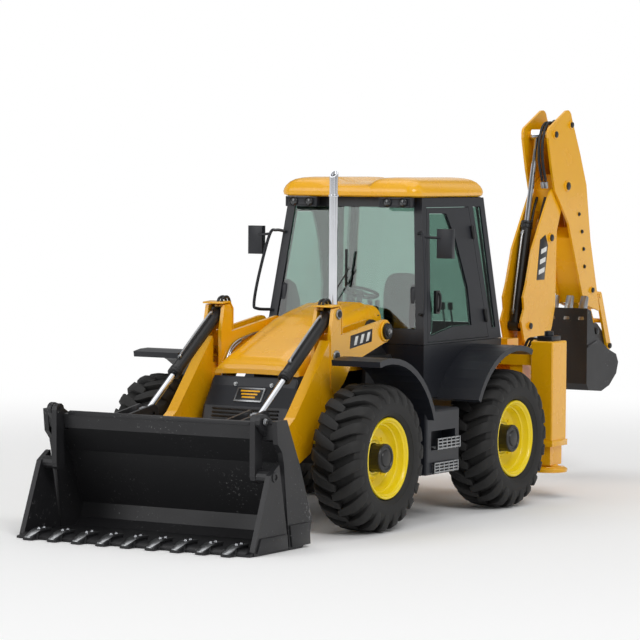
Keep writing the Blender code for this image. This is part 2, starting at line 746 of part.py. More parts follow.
def cab_base(black, parent):
    """Cab tub with floor, cowl, console, seat stand and the rear mudguards."""
    half = CAB_HALF_WAIST
    tub = block("cab_base", (-half, CAB_FRONT_WAIST, CAB_FLOOR_Z), (half, CAB_REAR_WAIST, CAB_WAIST_Z - GAP))
    inside = half - TUB_WALL
    hollow = block(
        "tub_hollow",
        (-inside, CAB_FRONT_WAIST + CAB_WALL, CAB_FLOOR_Z + 3),
        (inside, CAB_REAR_WAIST - CAB_WALL, CAB_WAIST_Z + 5),
    )
    cut(tub, hollow)
    tyre_inner = WHEEL_X - TYRE_WIDTH / 2
    for side in (-1, 1):
        inner, radius = side * (tyre_inner - 1.2), TYRE_RADIUS + FENDER_GAP
        cut(tub, pin("wheel_arch", (0, TYRE_RADIUS), inner, side * 70, radius, sides=40))
    scuttle = block("scuttle", (-24, CAB_FRONT_WAIST - 2.4, 78), (24, CAB_FRONT_WAIST - GAP, 104))
    scuttle_foot = block("scuttle_foot", (-24, CAB_FRONT_WAIST - 2, 78), (24, CAB_FRONT_WAIST + 1, 90))
    hinge = pin("bonnet_hinge", (HINGE_Y, HINGE_Z), -HOOD_HALF_WIDTH + 0.4, HOOD_HALF_WIDTH - 0.4, 1.2)
    join(tub, scuttle, scuttle_foot, hinge)
    for side in (-1, 1):
        low = (side * 17, HINGE_Y - 1.6, 100)
        join(tub, block("hinge_lug", low, (side * 21, CAB_FRONT_WAIST - 1, HINGE_Z + 1.6)))
    stand = cylinder("seat_stand", (0, SEAT_Y, CAB_FLOOR_Z + 2), (0, SEAT_Y, SEAT_Z - GAP), 5.0)
    low = CAB_FLOOR_Z + 2
    outline = [(-56.5, low), (-42, low), (-44, 90), (-43.5, 104), (-51, 104), (-56.5, 90)]
    console = plate("console", outline, -8, 8)
    column_top = STEERING_CENTRE - STEERING_AXIS * (STEERING_HUB + GAP)
    column = cylinder("steering_column", column_top - STEERING_AXIS * COLUMN_LENGTH, column_top, 1.6)
    join(tub, stand, console, column)
    for side in (-1, 1):
        guard = fender(side, 0, 152, 70, tyre_inner - 2.2, WHEEL_X + TYRE_WIDTH / 2 - 1.0, "rear_fender")
        join(tub, guard)
    return dress(tub, black, parent)


def roof_ring(z, inwards, corner):
    """The roof's plan at one height, drawn in from its widest and with its corners cut."""
    half, front, rear = ROOF_HALF - inwards, ROOF_FRONT + inwards, ROOF_REAR - inwards
    right = [(half - corner, front), (half, front + corner), (half, rear - corner), (half - corner, rear)]
    left = [(-x, y) for x, y in reversed(right)]
    return [(x, y, z) for x, y in right + left]


def roof(paint, parent):
    """Two-lobed roof panel with rounded corners and sloping sides."""
    low = CAB_TOP_Z + GAP
    rings = [
        roof_ring(low, 1.0, ROOF_CORNER),
        roof_ring(low + 3.4, 0.0, ROOF_CORNER),
        roof_ring(ROOF_TOP_Z - 3.6, 3.0, ROOF_CORNER),
        roof_ring(ROOF_TOP_Z - 1.0, 7.0, ROOF_CORNER),
        roof_ring(ROOF_TOP_Z, 13.0, ROOF_CORNER),
    ]
    panel = stacked("cab_roof", rings)
    groove = ROOF_TOP_Z + 16.6
    dip = cylinder("roof_dip", (0, ROOF_FRONT - 5, groove), (0, ROOF_REAR + 5, groove), 18.5, sides=48)
    return dress(cut(panel, dip), paint, parent)


def seat(cloth, parent):
    """Driver's seat, cushion and back in one, turning on its stand."""
    y = SEAT_Y
    origin = at(0, y, SEAT_Z)
    cushion = block("driver_seat", (-12, y - 12, SEAT_Z), (12, y + 12, SEAT_Z + 7), origin, bevel=2.0)
    back = block("seat_back", (-11.5, y + 7, SEAT_Z + 5), (11.5, y + 13, SEAT_Z + 42), bevel=2.0)
    return dress(join(cushion, back), cloth, parent)


def steering_wheel(black, parent):
    """Tilted wheel rim with three spokes."""
    centre = STEERING_CENTRE
    axis = STEERING_AXIS
    radius = 9.5
    turn = axis.to_track_quat("Z", "Y").to_matrix().to_4x4()
    bpy.ops.mesh.primitive_torus_add(
        major_radius=radius * MM,
        minor_radius=0.9 * MM,
        major_segments=24,
        minor_segments=6,
        location=at(*centre),
        rotation=turn.to_euler(),
    )
    ring = bpy.context.object
    ring.name = "steering_wheel"
    hub = cylinder("wheel_hub", centre - axis * STEERING_HUB, centre + axis * 0.6, 2.2)
    join(ring, hub)
    across = turn.to_3x3() @ Vector((1, 0, 0))
    upwards = turn.to_3x3() @ Vector((0, 1, 0))
    for angle in (30, 150, 270):
        a = math.radians(angle)
        tip = centre + (across * math.cos(a) + upwards * math.sin(a)) * radius
        join(ring, cylinder("spoke", centre, tip, 0.7, sides=8))
    return dress(ring, black, parent)


def mirror_axis(side):
    """The two mounting points of a mirror bracket on the cab's front corner."""
    points = []
    for z in MIRROR_MOUNT_Z:
        x = slope(CAB_HALF_WAIST, CAB_HALF_TOP, z) - 1.6
        points.append((side * x, slope(CAB_FRONT_WAIST, CAB_FRONT_TOP, z) - 0.9 - GAP, z))
    return points


def mirror(side, black, parent):
    """Bent tube bracket and mirror head."""
    low, high = mirror_axis(side)
    knee_low = (low[0] + side * 7.0, low[1] - 7.5, low[2])
    knee_high = (high[0] + side * 6.0, high[1] - 5.5, high[2])
    bracket = tube(side_name(side) + "_mirror", [high, knee_high, knee_low, low], 0.9, at(*low))
    x, y, z = side * MIRROR_HEAD_X, high[1] - 1.0, high[2] - 5.0
    head = block("mirror_head", (x - 4.6, y - 1.8, z - 7.8), (x + 4.6, y + 1.8, z + 7.8), bevel=1.0)
    stub = cylinder("mirror_stub", knee_high, (x, y, z + 3.0), 0.8, sides=8)
    return dress(join(bracket, stub, head), black, parent)


def step_box(side, black, parent):
    """Side tank with a step cut into its outer face, moulded in one with the front mudguard."""
    outer = WHEEL_X + 9.5
    front = FRONT_AXLE_Y + TYRE_RADIUS + 6.0
    rear = CAB_FRONT_WAIST + 1
    box = block(
        side_name(side) + "_step_and_fender",
        (side * (CHASSIS_HALF_WIDTH + GAP), front, 25),
        (side * outer, rear, 59),
        bevel=1.2,
    )
    tread = block("step_recess", (side * (outer - 8), front + 5, 38), (side * (outer + 5), rear - 5, 48))
    under = block("arm_room", (side * 20, front - 5, 49.0), (side * (ARM_OUTER_X + 4), rear + 5, 65))
    inner_x = WHEEL_X - TYRE_WIDTH / 2 - 1.0
    outer_x = WHEEL_X + TYRE_WIDTH / 2 - 1.0
    guard = fender(side, FRONT_AXLE_Y, 103, 20, inner_x, outer_x, "front_fender")
    return dress(join(cut(box, tread, under), guard), black, parent)


# ------------------------------------------------------------------ rams
Ram = namedtuple("Ram", "base tip x radius rod_radius barrel rod_start base_pin")


def ram(name, spec, metal, chrome, barrel_parent):
    """A hydraulic ram in the side view: hollow barrel on its base pin, rod out to the tip."""
    ay, az = spec.base
    by, bz = spec.tip
    length = math.hypot(by - ay, bz - az)
    uy, uz = (by - ay) / length, (bz - az) / length

    def along(distance):
        return (spec.x, ay + uy * distance, az + uz * distance)

    half = spec.radius - 0.1
    eye_radius = max(spec.radius, spec.base_pin + GAP + 1.2)
    barrel = cylinder(name + "_barrel", along(1.5), along(spec.barrel), spec.radius, at(*along(0)))
    join(barrel, pin("barrel_eye", spec.base, spec.x - half, spec.x + half, eye_radius))
    cut(barrel, pin("eye_hole", spec.base, spec.x - 20, spec.x + 20, spec.base_pin + GAP))
    bore = cylinder("bore", along(eye_radius + 2), along(spec.barrel + 5), spec.rod_radius + GAP)
    cut(barrel, bore)
    dress(barrel, metal, barrel_parent)
    start = along(spec.rod_start)
    rod = cylinder(name + "_rod", start, along(length - 1), spec.rod_radius, at(*along(length)))
    join(rod, pin("rod_eye", spec.tip, spec.x - half, spec.x + half, spec.rod_radius + 1.6))
    dress(rod, chrome, barrel)
    return barrel, rod


# ------------------------------------------------------------------ loader
def loader_arms(paint, parent):
    """Both lift arms with their knee plates, beams and the tube that ties them."""
    origin = at(0, *ARM_PIVOT)
    cy, cz = BUCKET_PIVOT
    tie = pin("loader_arms", (cy + 16, cz + 6), -BEAM_INNER_X - 1, BEAM_INNER_X + 1, 4.0, origin)
    for side in (-1, 1):
        join(tie, *arm_side(side))
    for side in (-1, 1):
        cut(
            tie,
            pin("arm_hole", ARM_PIVOT, side * 20, side * 50, PIVOT_RADIUS + GAP),
            pin("bucket_hole", BUCKET_PIVOT, side * 20, side * 50, 2.0 + GAP),
        )
    return dress(tie, paint, parent)


def arm_side(side):
    """Solids of one arm."""
    ky = KNEE_PIN[0]
    front = ky - 5.3
    rear = ky + 4.8
    knee = arc(ARM_PIVOT, 6.2, -95, 95, 8)
    knee += [(rear, 98.8), (rear, 110), (ky + 2.6, 113.3), (front + 3, 112.8), (front, 99.5)]
    knee += [(front + 0.6, 72), (front + 5, 68), (ky + 9, 75), (ky + 15.7, 83.6)]
    outer = plate("outer_plate", knee, side * (ARM_OUTER_X - ARM_PLATE), side * ARM_OUTER_X)
    inner = plate("inner_plate", knee, side * ARM_INNER_X, side * (ARM_INNER_X + ARM_PLATE))
    py, pz = BUCKET_PIVOT
    beam_outline = [(ky + 2, 81.5), (ky - 4.6, 83), (ky - 4.6, 95), (front, 96.5), (py + 17, pz + 18)]
    beam_outline += arc(BUCKET_PIVOT, 6.0, 130, 270, 7)
    beam_outline += [(py + 20, pz - 6), (py + 32, pz - 1), (py + 38, pz + 10), (ky + 4, 70)]
    beam = plate("lower_beam", beam_outline, side * BEAM_INNER_X, side * BEAM_OUTER_X)
    web = block("knee_web", (side * (ARM_INNER_X + 1), ky - 5, 71), (side * (ARM_OUTER_X - 1), ky + 6, 80))
    crowd_pin = pin("crowd_pin", CROWD_BASE, side * (ARM_INNER_X + 1), side * (ARM_OUTER_X + 0.8), 1.7)
    knee_pin = pin("knee_pin", KNEE_PIN, side * (ARM_OUTER_X - 1), side * (ARM_OUTER_X + 0.8), 2.2)
    return outer, inner, beam, web, crowd_pin, knee_pin


def loader_rams(black, chrome, chassis_piece, arms):
    """Lift and crowd rams of both arms."""
    lift = Ram(LIFT_BASE, KNEE_PIN, LIFT_X, LIFT_RADIUS, LIFT_ROD_RADIUS, LIFT_BARREL, 20.0, 1.3)
    crowd = Ram(CROWD_BASE, CROWD_PIN, CROWD_X, CROWD_RADIUS, CROWD_ROD_RADIUS, CROWD_BARREL, 28.0, 1.7)
    for side in (-1, 1):
        name = side_name(side)
        ram(name + "_lift_ram", lift._replace(x=side * LIFT_X), black, chrome, chassis_piece)
        ram(name + "_crowd_ram", crowd._replace(x=side * CROWD_X), black, chrome, arms)


def bucket_profile():
    """Back and floor of the rear half of the loader bucket, a bent wall in side view."""
    back = BUCKET_BACK_Y
    split = BUCKET_SPLIT_Y
    return [
        (back - 32.7, BUCKET_LIP),
        (back - 22.8, BUCKET_LIP),
        (back - 11.5, 40.6),
        (back, 13.6),
        (back - 2, 5),
        (back - 9, 0),
        (split, 0),
        (split, 2),
        (back - 9.4, 2.2),
        (back - 4.3, 6),
        (back - 2.6, 13.4),
        (back - 14, 41),
        (back - 24, 56),
        (back - 31.3, 54),
    ]


def loader_bucket(steel, parent):
    """Rear half of the loader bucket with its lugs, ears and jaw brackets."""
    origin = at(0, *BUCKET_PIVOT)
    back = BUCKET_BACK_Y
    split = BUCKET_SPLIT_Y
    half = BUCKET_HALF_WIDTH
    shell = plate("loader_bucket", bucket_profile(), -half + 0.5, half - 0.5, origin)
    side_outline = [
        (back - 33, BUCKET_TOP - 0.2),
        (back - 23.6, BUCKET_TOP),
        (back - 11.5, 40.6),
        (back, 13.6),
        (back - 2, 5),
        (back - 9, 0),
        (split, 0),
        (split - 5.6, 42.5),
        (split - 7, 47.8),
        (split - 11, 52),
    ]
    py, pz = BUCKET_PIVOT
    lug_outline = arc(BUCKET_PIVOT, 5.5, -100, 80, 6) + [(back - 13, pz + 7), (back - 2, pz - 26)]
    ear_outline = arc(CROWD_PIN, 4.6, -60, 120, 6) + [(back - 22.6, BUCKET_LIP - 1), (back - 17, 47)]
    for side in (-1, 1):
        cheek = plate("bucket_cheek", side_outline, side * (half - BUCKET_SIDE), side * half)
        join(shell, cheek)
        for x in (BEAM_INNER_X - 2.3 - GAP, BEAM_OUTER_X + GAP):
            join(shell, plate("pivot_lug", lug_outline, side * x, side * (x + 2.3)))
        for x in (CROWD_X - CROWD_RADIUS - GAP - 1.6, CROWD_X + CROWD_RADIUS + GAP):
            join(shell, plate("ram_ear", ear_outline, side * x, side * (x + 1.6)))
        pivot = pin("bucket_pin", BUCKET_PIVOT, side * (BEAM_INNER_X - 2), side * (BEAM_OUTER_X + 3.2), 2.0)
        join(shell, pivot, *jaw_bracket(side))
    for side in (-1, 1):
        cut(shell, lever_slot(side))
    return dress(shell, steel, parent)


def jaw_bracket(side):
    """Bracket and pin that carry one end of the jaw."""
    jy, jz = JAW_PIVOT
    outline = arc(JAW_PIVOT, 3.8, 60, 200, 6)
    outline += [(jy + 5.6, jz - 10), (jy + 11, jz - 10.8), (jy + 13, BUCKET_LIP - 0.5)]
    x = JAW_LEVER_X + JAW_LEVER_THICK + GAP
    bracket = plate("jaw_bracket", outline, side * x, side * (x + 2.5))
    stub = pin("jaw_pin", JAW_PIVOT, side * (JAW_LEVER_X - 0.5), side * (x + 3.2), JAW_PIN_RADIUS)
    return bracket, stub


def lever_slot(side):
    """Room in the bucket's lip for a jaw lever, short of the jaw pin's bracket."""
    jy, jz = JAW_PIVOT
    x0 = JAW_LEVER_X - GAP
    x1 = JAW_LEVER_X + JAW_LEVER_THICK + GAP
    return block("lever_slot", (side * x0, jy - 8, jz - 16), (side * x1, jy + 4.4, jz - JAW_PIN_RADIUS - 0.4))


def bucket_jaw(steel, parent):
    """Front half of the loader bucket: floor, cheeks, hinge levers and bolt-on teeth."""
    origin = at(0, *JAW_PIVOT)
    split = BUCKET_SPLIT_Y - 0.6
    edge = BUCKET_EDGE_Y
    half = BUCKET_HALF_WIDTH
    floor = [(split, 0), (split, 2.4), (edge + 7, 2.4), (edge, 1.0), (edge, 0)]
    jaw = plate("bucket_jaw", floor, -half + 0.5, half - 0.5, origin)
    cheek = [(split, 0), (split - 9.1, 42.2), (split - 10.6, 41.5), (split - 17, 37.5)]
    cheek += [(edge + 3, 2), (edge + 3, 0)]
    jy, jz = JAW_PIVOT
    lever = arc(JAW_PIVOT, 3.4, 0, 180, 6) + arc(JAW_BOSS, 3.6, 180, 350, 6) + [(jy + 2.8, jz - 14)]
    inner = half - BUCKET_SIDE
    for side in (-1, 1):
        join(
            jaw,
            plate("jaw_cheek", cheek, side * inner, side * half),
            plate("jaw_lever", lever, side * JAW_LEVER_X, side * (JAW_LEVER_X + JAW_LEVER_THICK)),
            pin("jaw_boss", JAW_BOSS, side * (JAW_LEVER_X + 1), side * (inner + 0.5), 3.2),
        )
    for side in (-1, 1):
        x0, x1 = side * (JAW_LEVER_X - 5), side * inner
        cut(jaw, pin("jaw_hole", JAW_PIVOT, x0, x1, JAW_PIN_RADIUS + GAP))
    tooth = [(edge + 11, 1.5), (edge + 11, 4.0), (edge + 3, 4.0), (edge - TOOTH_REACH, 1.2)]
    tooth += [(edge - TOOTH_REACH, 0), (edge + 3, 0)]
    pitch = 2 * (half - TOOTH_MARGIN) / (TOOTH_COUNT - 1)
    for i in range(TOOTH_COUNT):
        x = -half + TOOTH_MARGIN + i * pitch
        join(jaw, plate("tooth", tooth, x - TOOTH_WIDTH / 2, x + TOOTH_WIDTH / 2))
    return dress(jaw, steel, parent)


# ------------------------------------------------------------------ rear frame and backhoe
def rear_frame(paint, parent):
    """Cross frame with rails for the backhoe and a square sleeve for each stabiliser."""
    reach = LEG_X - LEG_HALF_X + 0.5
    y0, y1 = FRAME_FRONT_Y, FRAME_REAR_Y
    frame = block("rear_frame", (-reach, y0 + 3, 74), (reach, y1, 84))
    lower = block("lower_rail", (-reach, y0 + 3, 36), (reach, y1, 46))
    join(frame, lower)
    for side in (-1, 1):
        x = side * 44.0
        post = block("frame_post", (x - 4, y0 + 4, 40), (x + 4, y1 - 1, 80))
        arm = block("chassis_joint", (side * 10, CHASSIS_REAR + GAP, 48.5), (side * 48, y0 + 6, 60))
        sleeve = block(
            "leg_sleeve",
            (side * (LEG_X - LEG_HALF_X), y0, LEG_BOTTOM),
            (side * (LEG_X + LEG_HALF_X), y1, LEG_TOP),
            bevel=0.8,
        )
        join(frame, post, arm, sleeve)
    web = block("frame_web", (-30, y0 + 3.5, 44), (30, y0 + 6.5, 76))
    join(frame, web)
    for side in (-1, 1):
        inner = LEG_HALF_X - LEG_WALL
        hollow = block(
            "sleeve_hollow",
            (side * (LEG_X - inner), y0 + LEG_WALL, LEG_BOTTOM - 5),
            (side * (LEG_X + inner), y1 - LEG_WALL, LEG_TOP - 2.0),
        )
        cut(frame, hollow)
    return dress(frame, paint, parent)


def stabiliser(side, paint, parent):
    """Sliding leg with its round foot."""
    y0, y1 = FRAME_FRONT_Y, FRAME_REAR_Y
    inner = LEG_HALF_X - LEG_WALL - GAP
    middle = (y0 + y1) / 2
    origin = at(side * LEG_X, middle, FOOT_BOTTOM)
    leg = block(
        side_name(side) + "_stabiliser_leg",
        (side * (LEG_X - inner), y0 + LEG_WALL + GAP, FOOT_BOTTOM + 4),
        (side * (LEG_X + inner), y1 - LEG_WALL - GAP, LEG_TOP - 20),
        origin,
    )
    x = side * LEG_X
    foot = cylinder("foot", (x, middle, FOOT_BOTTOM), (x, middle, FOOT_BOTTOM + 3), 11.0, end_radius=9.5)
    neck = cylinder("foot_neck", (x, middle, FOOT_BOTTOM + 2), (x, middle, FOOT_BOTTOM + 6), 5.0)
    return dress(join(leg, foot, neck), paint, parent)


def carriage(paint, parent):
    """Plate that slides along the rear frame and carries the swing post between two lugs."""
    x0, x1 = SIDE_SHIFT - CARRIAGE_HALF, SIDE_SHIFT + CARRIAGE_HALF
    y = FRAME_REAR_Y + GAP
    slider = block("backhoe_carriage", (x0, y, 32), (x1, y + 5, 88), at(SIDE_SHIFT, FRAME_REAR_Y, 60))
    top_hook = block("top_hook", (x0, FRAME_REAR_Y - 8, 84 + GAP), (x1, y + 1, 88))
    low_hook = block("low_hook", (x0, FRAME_REAR_Y - 8, 32), (x1, y + 1, 36 - GAP))
    join(slider, top_hook, low_hook)
    for z0, z1 in ((38, 44), (66, 71)):
        lug = block("swing_lug", (SIDE_SHIFT - 6.5, y + 4, z0), (SIDE_SHIFT + 6.5, SWING_Y, z1))
        round_end = cylinder("lug_end", (SIDE_SHIFT, SWING_Y, z0), (SIDE_SHIFT, SWING_Y, z1), 6.5)
        join(slider, lug, round_end)
    post = cylinder("swing_pin", (SIDE_SHIFT, SWING_Y, 37), (SIDE_SHIFT, SWING_Y, 72.5), SWING_RADIUS - 1.2)
    return dress(join(slider, post), paint, parent)


def kingpost(paint, parent):
    """Swing post: sleeve on the carriage's pin, boom foot pin and boom ram ear."""
    x = SIDE_SHIFT
    origin = at(x, SWING_Y, 44)
    sleeve = cylinder("kingpost", (x, SWING_Y, 44 + GAP), (x, SWING_Y, 66 - GAP), 6.4, origin)
    fy, fz = BOOM_FOOT
    inner = BOOM_HALF - BOOM_PLATE - GAP
    body = plate(
        "post_body",
        [(SWING_Y, 45), (fy - 4, 45), (fy + 4, 56), (fy + 5, 66), (SWING_Y + 5, 65.5), (SWING_Y, 65.5)],
        x - inner,
        x + inner,
    )
    ear_outline = [(fy - 8, 64), (fy + 5, 64)] + arc(BOOM_FOOT, 5.5, 0, 80, 5)
    ear_outline += arc(BOOM_RAM_BASE, 3.0, 40, 180, 6) + [(fy - 7, fz + 4)]
    ear_x0 = x + BOOM_RAM_X - BOOM_RAM_RADIUS - GAP - 4.0
    ear_x1 = x + BOOM_RAM_X - BOOM_RAM_RADIUS - GAP
    ear = plate("post_ear", ear_outline, ear_x0, ear_x1)
    head_outline = [(fy - 7, 60), (fy + 5.5, 60)] + arc(BOOM_FOOT, 5.5, 0, 180, 9)
    head = plate("post_head", head_outline, x - inner, x + inner)
    join(sleeve, body, head, ear)
    cut(sleeve, cylinder("post_bore", (x, SWING_Y, 30), (x, SWING_Y, 80), SWING_RADIUS - 1.2 + GAP))
    foot_pin = pin("foot_pin", BOOM_FOOT, x - BOOM_HALF - 1.0, x + BOOM_HALF + 1.0, 2.2)
    ram_pin = pin("boom_ram_pin", BOOM_RAM_BASE, ear_x0 + 1, x + BOOM_RAM_X + BOOM_RAM_RADIUS, 1.1)
    return dress(join(sleeve, foot_pin, ram_pin), paint, parent)


def boom(paint, parent):
    """Boom: two plates with webs, a nose block at the tip."""
    x = SIDE_SHIFT
    origin = at(x, *BOOM_FOOT)
    outline = arc(BOOM_FOOT, 6.0, 200, 340, 6)
    outline += [(133, 92), (137, 104), (138, 148), (146, 166)]
    outline += arc(BOOM_TIP, 7.0, -40, 110, 7)
    outline += [(129.3, 171.4), (115.6, 151.1), (107, 137.9), (100, 117.8), (96.4, 110.4)]
    outline += [(97.6, 103.4), (94, 96.6), (98, 86)]
    near = BOOM_HALF
    thick = BOOM_PLATE
    shell = plate("boom", outline, x + near - thick, x + near, origin)
    far = plate("boom_far_plate", outline, x - near, x - near + thick)
    web_outline = [(132.6, 98), (134.5, 104), (135.6, 148), (143, 166)]
    web_outline += [(146, 166), (138, 148), (137, 104), (134.6, 97)]
    web = plate("boom_web", web_outline, x - near + 0.5, x + near - 0.5)
    nose_outline = [(143, 163), (146.5, 166.5)] + arc(BOOM_TIP, 7.0, -40, 110, 7)
    nose_outline += [(136, 172.5), (136, 160), (139, 154)]
    nose = plate("boom_nose", nose_outline, x - near + 0.4, x + near - 0.4)
    join(shell, far, web, nose)
    cut(
        shell,
        pin("tip_hole", BOOM_TIP, x - 20, x + 20, 2.4 + GAP),
        pin("foot_hole", BOOM_FOOT, x - 20, x + 20, 2.2 + GAP),
    )
    pin_end = x + DIPPER_RAM_X + DIPPER_RAM_RADIUS
    base_pin = pin("dipper_ram_pin", DIPPER_RAM_BASE, x - near + 0.4, pin_end, 1.5)
    for name, place_mm in (("dipper_ram_boss", DIPPER_RAM_BASE), ("boom_ram_boss", BOOM_RAM_PIN)):
        join(shell, pin(name, place_mm, x + near - 0.6, x + near + 0.8, 2.2))
    return dress(join(shell, base_pin), paint, parent)


def dipper(paint, parent):
    """Dipper: two head plates round the boom's nose, a box behind them and the bucket nose."""
    x = SIDE_SHIFT
    origin = at(x, *BOOM_TIP)
    inner = BOOM_HALF + 0.4
    outer = inner + DIPPER_PLATE
    py, pz = REAR_BUCKET_PIVOT
    outline = [(193, 99), (172, 104), (169.6, 109.3), (150, 153), (132, 172), (127.5, 184.5), (122.6, 203)]
    outline += arc((127.2, 205.5), 4.6, 190, 130, 4)
    outline += arc((147.6, 214.4), 5.3, 110, 10, 5)
    outline += [(164.8, 193.3), (173.3, 175.3), (179.5, 142.2)]
    near = plate("dipper", outline, x + inner, x + outer, origin)
    far = plate("dipper_far_plate", outline, x - outer, x - inner)
    core = [(191, 100), (173, 104.5), (171, 109.5), (156, 144)]
    core += [(161, 150), (164, 146), (173.5, 113), (184, 104.5)]
    box = plate("dipper_core", core, x - inner - 0.4, x + inner + 0.4)
    nose = [(173, 105.5), (186, 106.5), (192, 100)] + arc(REAR_BUCKET_PIVOT, 5.0, 30, -150, 8)
    tongue = plate("dipper_nose", nose, x - NOSE_HALF, x + NOSE_HALF)
    join(near, far, box, tongue)
    tip_pin = pin("tip_pin", BOOM_TIP, x - outer - 0.8, x + outer + 0.8, 2.4)
    top_pin = pin("bucket_ram_pin", BUCKET_RAM_BASE, x - outer - 0.6, x + outer + 0.6, 1.6)
    join(near, tip_pin, top_pin)
    ram_low = x + DIPPER_RAM_X - DIPPER_RAM_RADIUS - GAP
    ram_high = x + DIPPER_RAM_X + DIPPER_RAM_RADIUS + GAP
    join(near, pin("head_pin_far", DIPPER_RAM_PIN, x - outer - 0.8, ram_low, 2.0))
    join(near, pin("head_pin_near", DIPPER_RAM_PIN, ram_high, x + outer + 0.8, 2.0))
    cut(near, pin("nose_hole", REAR_BUCKET_PIVOT, x - 10, x + 10, 1.8 + GAP))
    lever_pin = pin("lever_pin", LEVER_PIVOT, x - outer, x + outer, 1.4)
    return dress(join(near, lever_pin), paint, parent)


def tipping_linkage(paint, dipper_piece):
    """Lever on the dipper and the link from its end to the bucket's ear."""
    x = SIDE_SHIFT
    lever = link_plate("tipping_lever", LEVER_PIVOT, LEVER_END, 2.6, x - 5.4, x - 3.6, at(x, *LEVER_PIVOT))
    other = link_plate("lever_cheek", LEVER_PIVOT, LEVER_END, 2.6, x + 3.6, x + 5.4, Vector())
    spacer = pin("lever_hub", LEVER_PIVOT, x - 4, x + 4, 2.6)
    join(lever, other, spacer)
    cut(lever, pin("lever_bore", LEVER_PIVOT, x - 10, x + 10, 1.4 + GAP))
    for side in (-1, 1):
        start = x + side * (BUCKET_RAM_RADIUS + GAP)
        join(lever, pin("lever_end_pin", LEVER_END, start, x + side * 7.6, 1.1))
    dress(lever, paint, dipper_piece)
    link = link_plate("tipping_link", LEVER_END, REAR_BUCKET_EAR, 2.6, x - 7.3, x - 5.7, at(x, *LEVER_END))
    twin = link_plate("link_cheek", LEVER_END, REAR_BUCKET_EAR, 2.6, x + 5.7, x + 7.3, Vector())
    middle = ((LEVER_END[0] + REAR_BUCKET_EAR[0]) / 2, (LEVER_END[1] + REAR_BUCKET_EAR[1]) / 2)
    tie = pin("link_tie", middle, x - 6, x + 6, 1.4)
    join(link, twin, tie)
    cut(link, pin("link_bore", LEVER_END, x - 10, x + 10, 1.1 + GAP))
    dress(link, paint, lever)
    return lever


def link_plate(name, first, second, radius, x0, x1, origin):
    """A flat link with round ends between two side-view points."""
    heading = math.degrees(math.atan2(second[1] - first[1], second[0] - first[0]))
    outline = arc(first, radius, heading + 90, heading + 270, 8)
    outline += arc(second, radius, heading - 90, heading + 90, 8)
    return plate(name, outline, x0, x1, origin)


def rear_bucket(steel, parent):
    """Digging bucket with four teeth and two ears."""
    x = SIDE_SHIFT
    half = REAR_BUCKET_HALF
    origin = at(x, *REAR_BUCKET_PIVOT)
    outer = [(157, 102), (157, 57), (160, 53), (177, 51.6), (188, 54.6), (197.5, 61.4)]
    outer += [(200, 68), (197, 73), (186, 76.5)]
    inner = [(185.4, 75), (195.6, 71.6), (198.2, 67.6), (196.2, 62.6), (187.2, 56.2)]
    inner += [(177, 53.4), (161, 54.8), (158.7, 58), (158.8, 102)]
    shell = plate("rear_bucket", outer + inner, x - half + 0.4, x + half - 0.4, origin)
    cheek = [(157, 102), (162, 100.4), (168, 86), (186, 76.5), (197, 73), (200, 68)]
    cheek += [(197.5, 61.4), (188, 54.6), (177, 51.6), (160, 53), (157, 57)]
    for side in (-1, 1):
        join(shell, plate("cheek", cheek, x + side * (half - 1.6), x + side * half))
    tooth = [(157.4, 96), (159.4, 96), (163.0, 108.6), (161.0, 109.4), (158, 103)]
    for i in range(4):
        middle = x - 14.4 + i * 9.6
        join(shell, plate("rear_tooth", tooth, middle - 1.7, middle + 1.7))
    ear = [(183, 76.6), (188.5, 84), (190, 90)] + arc(REAR_BUCKET_PIVOT, 5.0, 130, 60, 4)
    ear += arc(REAR_BUCKET_EAR, 4.2, 60, -110, 7) + [(199.5, 66.5), (196.5, 71.8)]
    for side in (-1, 1):
        x0 = x + side * (NOSE_HALF + GAP)
        x1 = x + side * (NOSE_HALF + 1.9)
        join(shell, plate("ear", ear, x0, x1))
    pivot = pin("rear_pin", REAR_BUCKET_PIVOT, x - NOSE_HALF - 2.6, x + NOSE_HALF + 2.6, 1.8)
    return dress(join(shell, pivot), steel, parent)


def backhoe(paint, black, chrome, steel, frame):
    """Carriage, swing post, boom, dipper, bucket and the rams between them."""
    slider = carriage(paint, frame)
    post = kingpost(paint, slider)
    main = boom(paint, post)
    boom_x = SIDE_SHIFT + BOOM_RAM_X
    boom_ram = Ram(BOOM_RAM_BASE, BOOM_RAM_PIN, boom_x, BOOM_RAM_RADIUS, 1.1, BOOM_RAM_BARREL, 8.0, 1.1)
    ram("boom_ram", boom_ram, black, chrome, post)
    arm = dipper(paint, main)
    dipper_ram = Ram(
        base=DIPPER_RAM_BASE,
        tip=DIPPER_RAM_PIN,
        x=SIDE_SHIFT + DIPPER_RAM_X,
        radius=DIPPER_RAM_RADIUS,
        rod_radius=DIPPER_RAM_ROD,
        barrel=DIPPER_RAM_BARREL,
        rod_start=50.0,
        base_pin=1.5,
    )
    ram("dipper_ram", dipper_ram, black, chrome, main)
    bucket_ram = Ram(
        base=BUCKET_RAM_BASE,
        tip=LEVER_END,
        x=SIDE_SHIFT,
        radius=BUCKET_RAM_RADIUS,
        rod_radius=BUCKET_RAM_ROD,
        barrel=BUCKET_RAM_BARREL,
        rod_start=42.0,
        base_pin=1.6,
    )
    ram("bucket_ram", bucket_ram, black, chrome, arm)
    tipping_linkage(paint, arm)
    rear_bucket(steel, arm)


